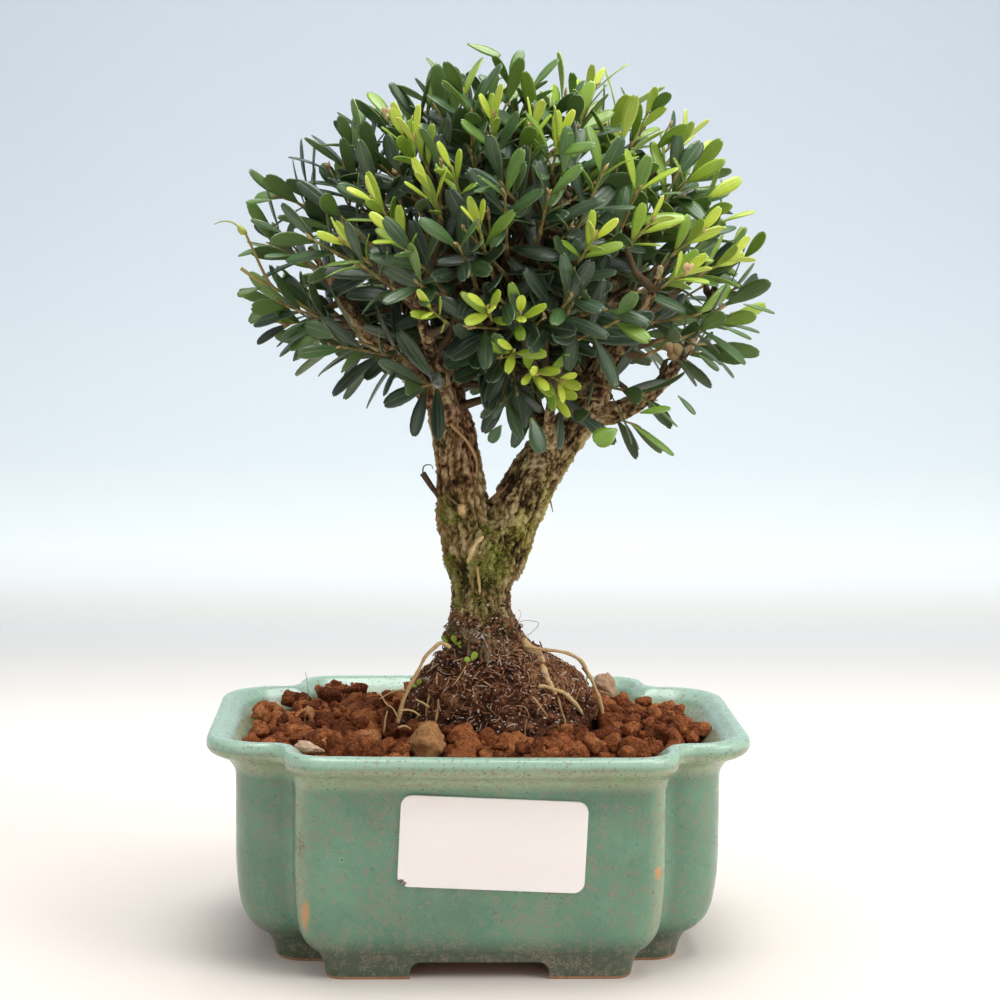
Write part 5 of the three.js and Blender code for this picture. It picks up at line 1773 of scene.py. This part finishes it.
def add_left_shoot(shape):
    """The thin bare shoot at the far left with its bud and curled leaf, a pruned one and three seed heads."""
    knots = (
        (-45.5, 176.3, -6), (-54.3, 182.4, -8), (-59.2, 185.7, -10), (-64.3, 196.0, -12), (-66.1, 200.0, -12),
    )
    line = smoothed([tip_seen_at(*knot) for knot in knots], 4)
    shape.add(*tube(line, np.linspace(0.55, 0.34, len(line)), 6), tone=0.56, node=0.15)
    stub = [tip_seen_at(-59.2, 185.0, -10), tip_seen_at(-63.2, 186.9, -10), tip_seen_at(-67.2, 189.8, -10)]
    shape.add(*tube(stub, (0.4, 0.5, 0.55), 6), tone=0.7, node=0.3)
    bud = tip_seen_at(-66.9, 200.4, -12)
    shape.add(*lump(bud, np.array([1.2, 1.0, 1.7]), 2, mulberry32(31), 4, 0.1), tone=1.0, node=0)
    curl = smoothed([bud, bud + (-2.4, 0, 1.9), bud + (-5.2, 0, 2.3), bud + (-7.6, 0, 1.4)], 3)
    shape.add(*tube(curl, np.linspace(0.34, 0.12, len(curl)), 5), tone=0.9, node=0)
    for x, z, size, dry in ((58.3, 191.2, 1.4, 0.9), (54.5, 167.8, 2.2, 0.0), (-27.2, 233.6, 0.9, 0.7)):
        middle = tip_seen_at(x, z)
        for turn in (0.4, 2.5, 4.6):
            aside = np.array([math.cos(turn), -0.4, math.sin(turn)]) * size * 0.5
            lobe = lump(
                middle + aside, np.array([0.66, 0.6, 0.8]) * size, 2, mulberry32(int(size * 10)), 4, 0.12,
            )
            shape.add(*lobe, tone=0.36, node=dry)


def make_crown():
    packed, fill = plan_crown()
    green, skin = leaf_green("leaf_green"), twig_skin()
    stems = Shape()
    counts = {"leafy_shoot": 0, "young_shoot": 0}
    for index, shoot in enumerate(packed):
        draw = mulberry32(7000 + index)
        young = shoot["kind"] is YOUNG_SHOOT
        kind = "young_shoot" if young else "leafy_shoot"
        counts[kind] += 1
        node = f"{kind}_{counts[kind]:02d}"
        shape = Shape()
        for sprig in (shoot, *shoot["forks"]):
            for leaf in sprig["leaves"]:
                add_leaf(shape, leaf, shade_of(sprig, leaf, draw), draw, YOUNG_FIT if young else OLD_FIT)
        for fork in shoot["forks"]:
            add_stem(stems, fork, 0.28)
        add_piece(f"leaves_{node}", shape, green, "young_leaf" if young else "old_leaf", [node])
        add_stem(stems, shoot, 0.62 if young else 0.28)
        add_buds(stems, shoot, draw)
        add_twig(stems, shoot)
    draw = mulberry32(7999)
    half = len(fill) // 2
    for number, part in enumerate((fill[:half], fill[half:]), 1):
        shape = Shape()
        for shoot in part:
            young = shoot["kind"] is YOUNG_SHOOT
            for leaf in shoot["leaves"]:
                add_leaf(shape, leaf, shade_of(shoot, leaf, draw), draw, YOUNG_FIT if young else OLD_FIT)
            add_stem(stems, shoot, 0.62 if young else 0.28)
            add_buds(stems, shoot, draw)
            add_twig(stems, shoot)
        if number == 1:
            for start, end, depth, width, tone in LOOSE_LEAVES:
                leaf = loose_leaf(tip_seen_at(*start, depth), tip_seen_at(*end, depth - 2), width)
                add_leaf(shape, leaf, tone, draw, (1, 1))
        add_piece(f"fill_leaves_{number}", shape, green, "old_leaf")
    add_left_shoot(stems)
    add_piece("twigs", stems, skin, "bark")


def add_twig(shape, shoot):
    line = smoothed(shoot["twig"], 6)
    radii = np.interp(np.arange(len(line)), (0, len(line) - 1), (1.5, shoot["kind"]["radius"]))
    radii = radii * (1 + 0.14 * fractal(line, 3.0, 2, 3))
    shape.add(*tube(line, radii, 6), tone=0.12, node=0)


def make_seedling(bark_tree, mound_tree):
    """The small green leaves on the root ball and at the foot of the trunk."""
    shape = Shape()
    draw = mulberry32(77)
    for tree, start, end, width in (
        (mound_tree, (-1.8, 78.6), (-0.4, 81.0), 1.9), (mound_tree, (-2.0, 78.6), (-3.8, 79.2), 1.6),
        (mound_tree, (-7.4, 82.6), (-9.2, 84.2), 1.8), (bark_tree, (-6.4, 83.6), (-4.4, 85.0), 2.0),
        (bark_tree, (-6.8, 84.2), (-7.2, 86.6), 1.8), (mound_tree, (-6.2, 82.4), (-4.4, 81.4), 1.8),
        (bark_tree, (-5.8, 83.4), (-3.4, 82.8), 1.7), (bark_tree, (-7.4, 84.6), (-9.4, 86.0), 1.6),
        (mound_tree, (-16.4, 71.2), (-15.6, 73.0), 1.6), (mound_tree, (-16.6, 71.2), (-18.0, 72.0), 1.6),
    ):
        place = seen_on(tree, *start)
        if place:
            foot = place[0] + place[1] * 0.8
            tip = foot + np.array([end[0] - start[0], -0.5, end[1] - start[1]])
            add_leaf(shape, loose_leaf(foot, tip, width), 0.66 + 0.14 * draw(), draw, (1, 1))
    add_piece("seedling", shape, leaf_green("seedling_green"), "young_leaf")


# Stage: a floor that bends up into the back wall
STAGE_FRONT = 2500.0
STAGE_FLAT = 700.0
STAGE_BEND = 500.0
STAGE_TOP = 2600.0
STAGE_SIDE = 3000.0


def make_stage():
    s = Shader("backdrop", Roughness=0.9, Specular_IOR_Level=0.1)
    back = s.times(s.coordinate("Y"), 0.5)
    way = s.plus(back, s.times(s.coordinate("Z"), 0.8))
    # Painted light and shade: the ramp is lighter under the pot, darker in a band behind it, lightest before
    # the bend and greyer up the back wall
    colour = s.ramp(
        s.steps(way, -0.1, 1.0), (0.06, rgb(228, 219, 212)), (0.1, rgb(238, 229, 222)),
        (0.15, rgb(217, 213, 208)), (0.2, rgb(205, 204, 202)), (0.24, rgb(205, 207, 206)),
        (0.28, rgb(216, 216, 212)), (0.336, rgb(230, 232, 231)), (0.364, rgb(236, 239, 239)),
        (0.42, rgb(240, 245, 245)), (0.56, rgb(224, 233, 237)), (0.87, rgb(212, 222, 231)),
        (1.0, rgb(208, 218, 228)),
    )
    s.set("Base Color", colour)
    profile = [(-STAGE_FRONT, 0.0), (STAGE_FLAT, 0.0)]
    for a in np.linspace(0.1, math.pi / 2, 14):
        profile.append((STAGE_FLAT + STAGE_BEND * math.sin(a), STAGE_BEND - STAGE_BEND * math.cos(a)))
    profile.append((STAGE_FLAT + STAGE_BEND, STAGE_TOP))
    points = [(x, y, z) for y, z in profile for x in (-STAGE_SIDE, STAGE_SIDE)]
    faces = [(2 * i, 2 * i + 1, 2 * i + 3, 2 * i + 2) for i in range(len(profile) - 1)]
    mesh = mesh_from("backdrop", points, faces)
    shade_smooth(mesh)
    mesh.materials.append(s.material)
    backdrop = add_object("backdrop", mesh)


def add_light(name, place, size, power, colour, target=(0, 0, 120)):
    light = bpy.data.lights.new(name, "AREA")
    light.shape = "DISK"
    light.size = size * MM
    light.energy = power
    light.color = colour
    holder = add_object(name, light)
    holder.location = (np.array(place) + MIDDLE) * MM
    holder.rotation_mode = "QUATERNION"
    way = Vector(target) - Vector(place)
    holder.rotation_quaternion = way.to_track_quat("-Z", "Y")


def make_lights():
    world = bpy.data.worlds.new("studio")
    world.use_nodes = True
    world.node_tree.nodes["Background"].inputs["Color"].default_value = (0.97, 0.98, 1.0, 1)
    world.node_tree.nodes["Background"].inputs["Strength"].default_value = 0.36
    bpy.context.scene.world = world
    add_light("softbox_left", (-700, -600, 800), 700, 1.8, (1.0, 0.99, 0.97))
    add_light("softbox_right", (860, -480, 760), 700, 7.6, (1.0, 0.99, 0.97))
    add_light("softbox_top", (60, 60, 1100), 800, 11.5, (1.0, 1.0, 1.0))
    add_light("backdrop_light", (0, 300, 1500), 1400, 2.4, (1.0, 1.0, 1.0), (0, 1200, 500))


def make_camera():
    camera = bpy.data.cameras.new("camera")
    camera.sensor_width = SENSOR
    camera.sensor_fit = "HORIZONTAL"
    camera.lens = CAMERA_LENS
    camera.clip_start, camera.clip_end = 0.01, 20
    holder = add_object("camera", camera)
    turn, down, roll = (math.radians(a) for a in (CAMERA_TURN, CAMERA_DOWN, CAMERA_ROLL))
    aim = Matrix.Rotation(-turn, 4, "Z") @ Matrix.Rotation(math.pi / 2 - down, 4, "X")
    aim = aim @ Matrix.Rotation(roll, 4, "Z")
    holder.matrix_world = Matrix.Translation(Vector((EYE + MIDDLE) * MM)) @ aim
    bpy.context.scene.camera = holder


make_camera()
make_lights()
make_stage()
make_pot()
make_label()
net = net_plastic()
for node in ("drain_screen_left", "drain_screen_right"):
    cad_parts[node].data.materials.clear()
    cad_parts[node].data.materials.append(net)
make_soil()
make_stones()
mound_tree = make_mound()
bark_tree = make_wood()
make_trunk_litter(bark_tree)
make_fine_roots(bark_tree, mound_tree)
make_dead_stub(bark_tree)
make_crown()
make_seedling(bark_tree, mound_tree)
bpy.context.scene.view_settings.view_transform = "Standard"
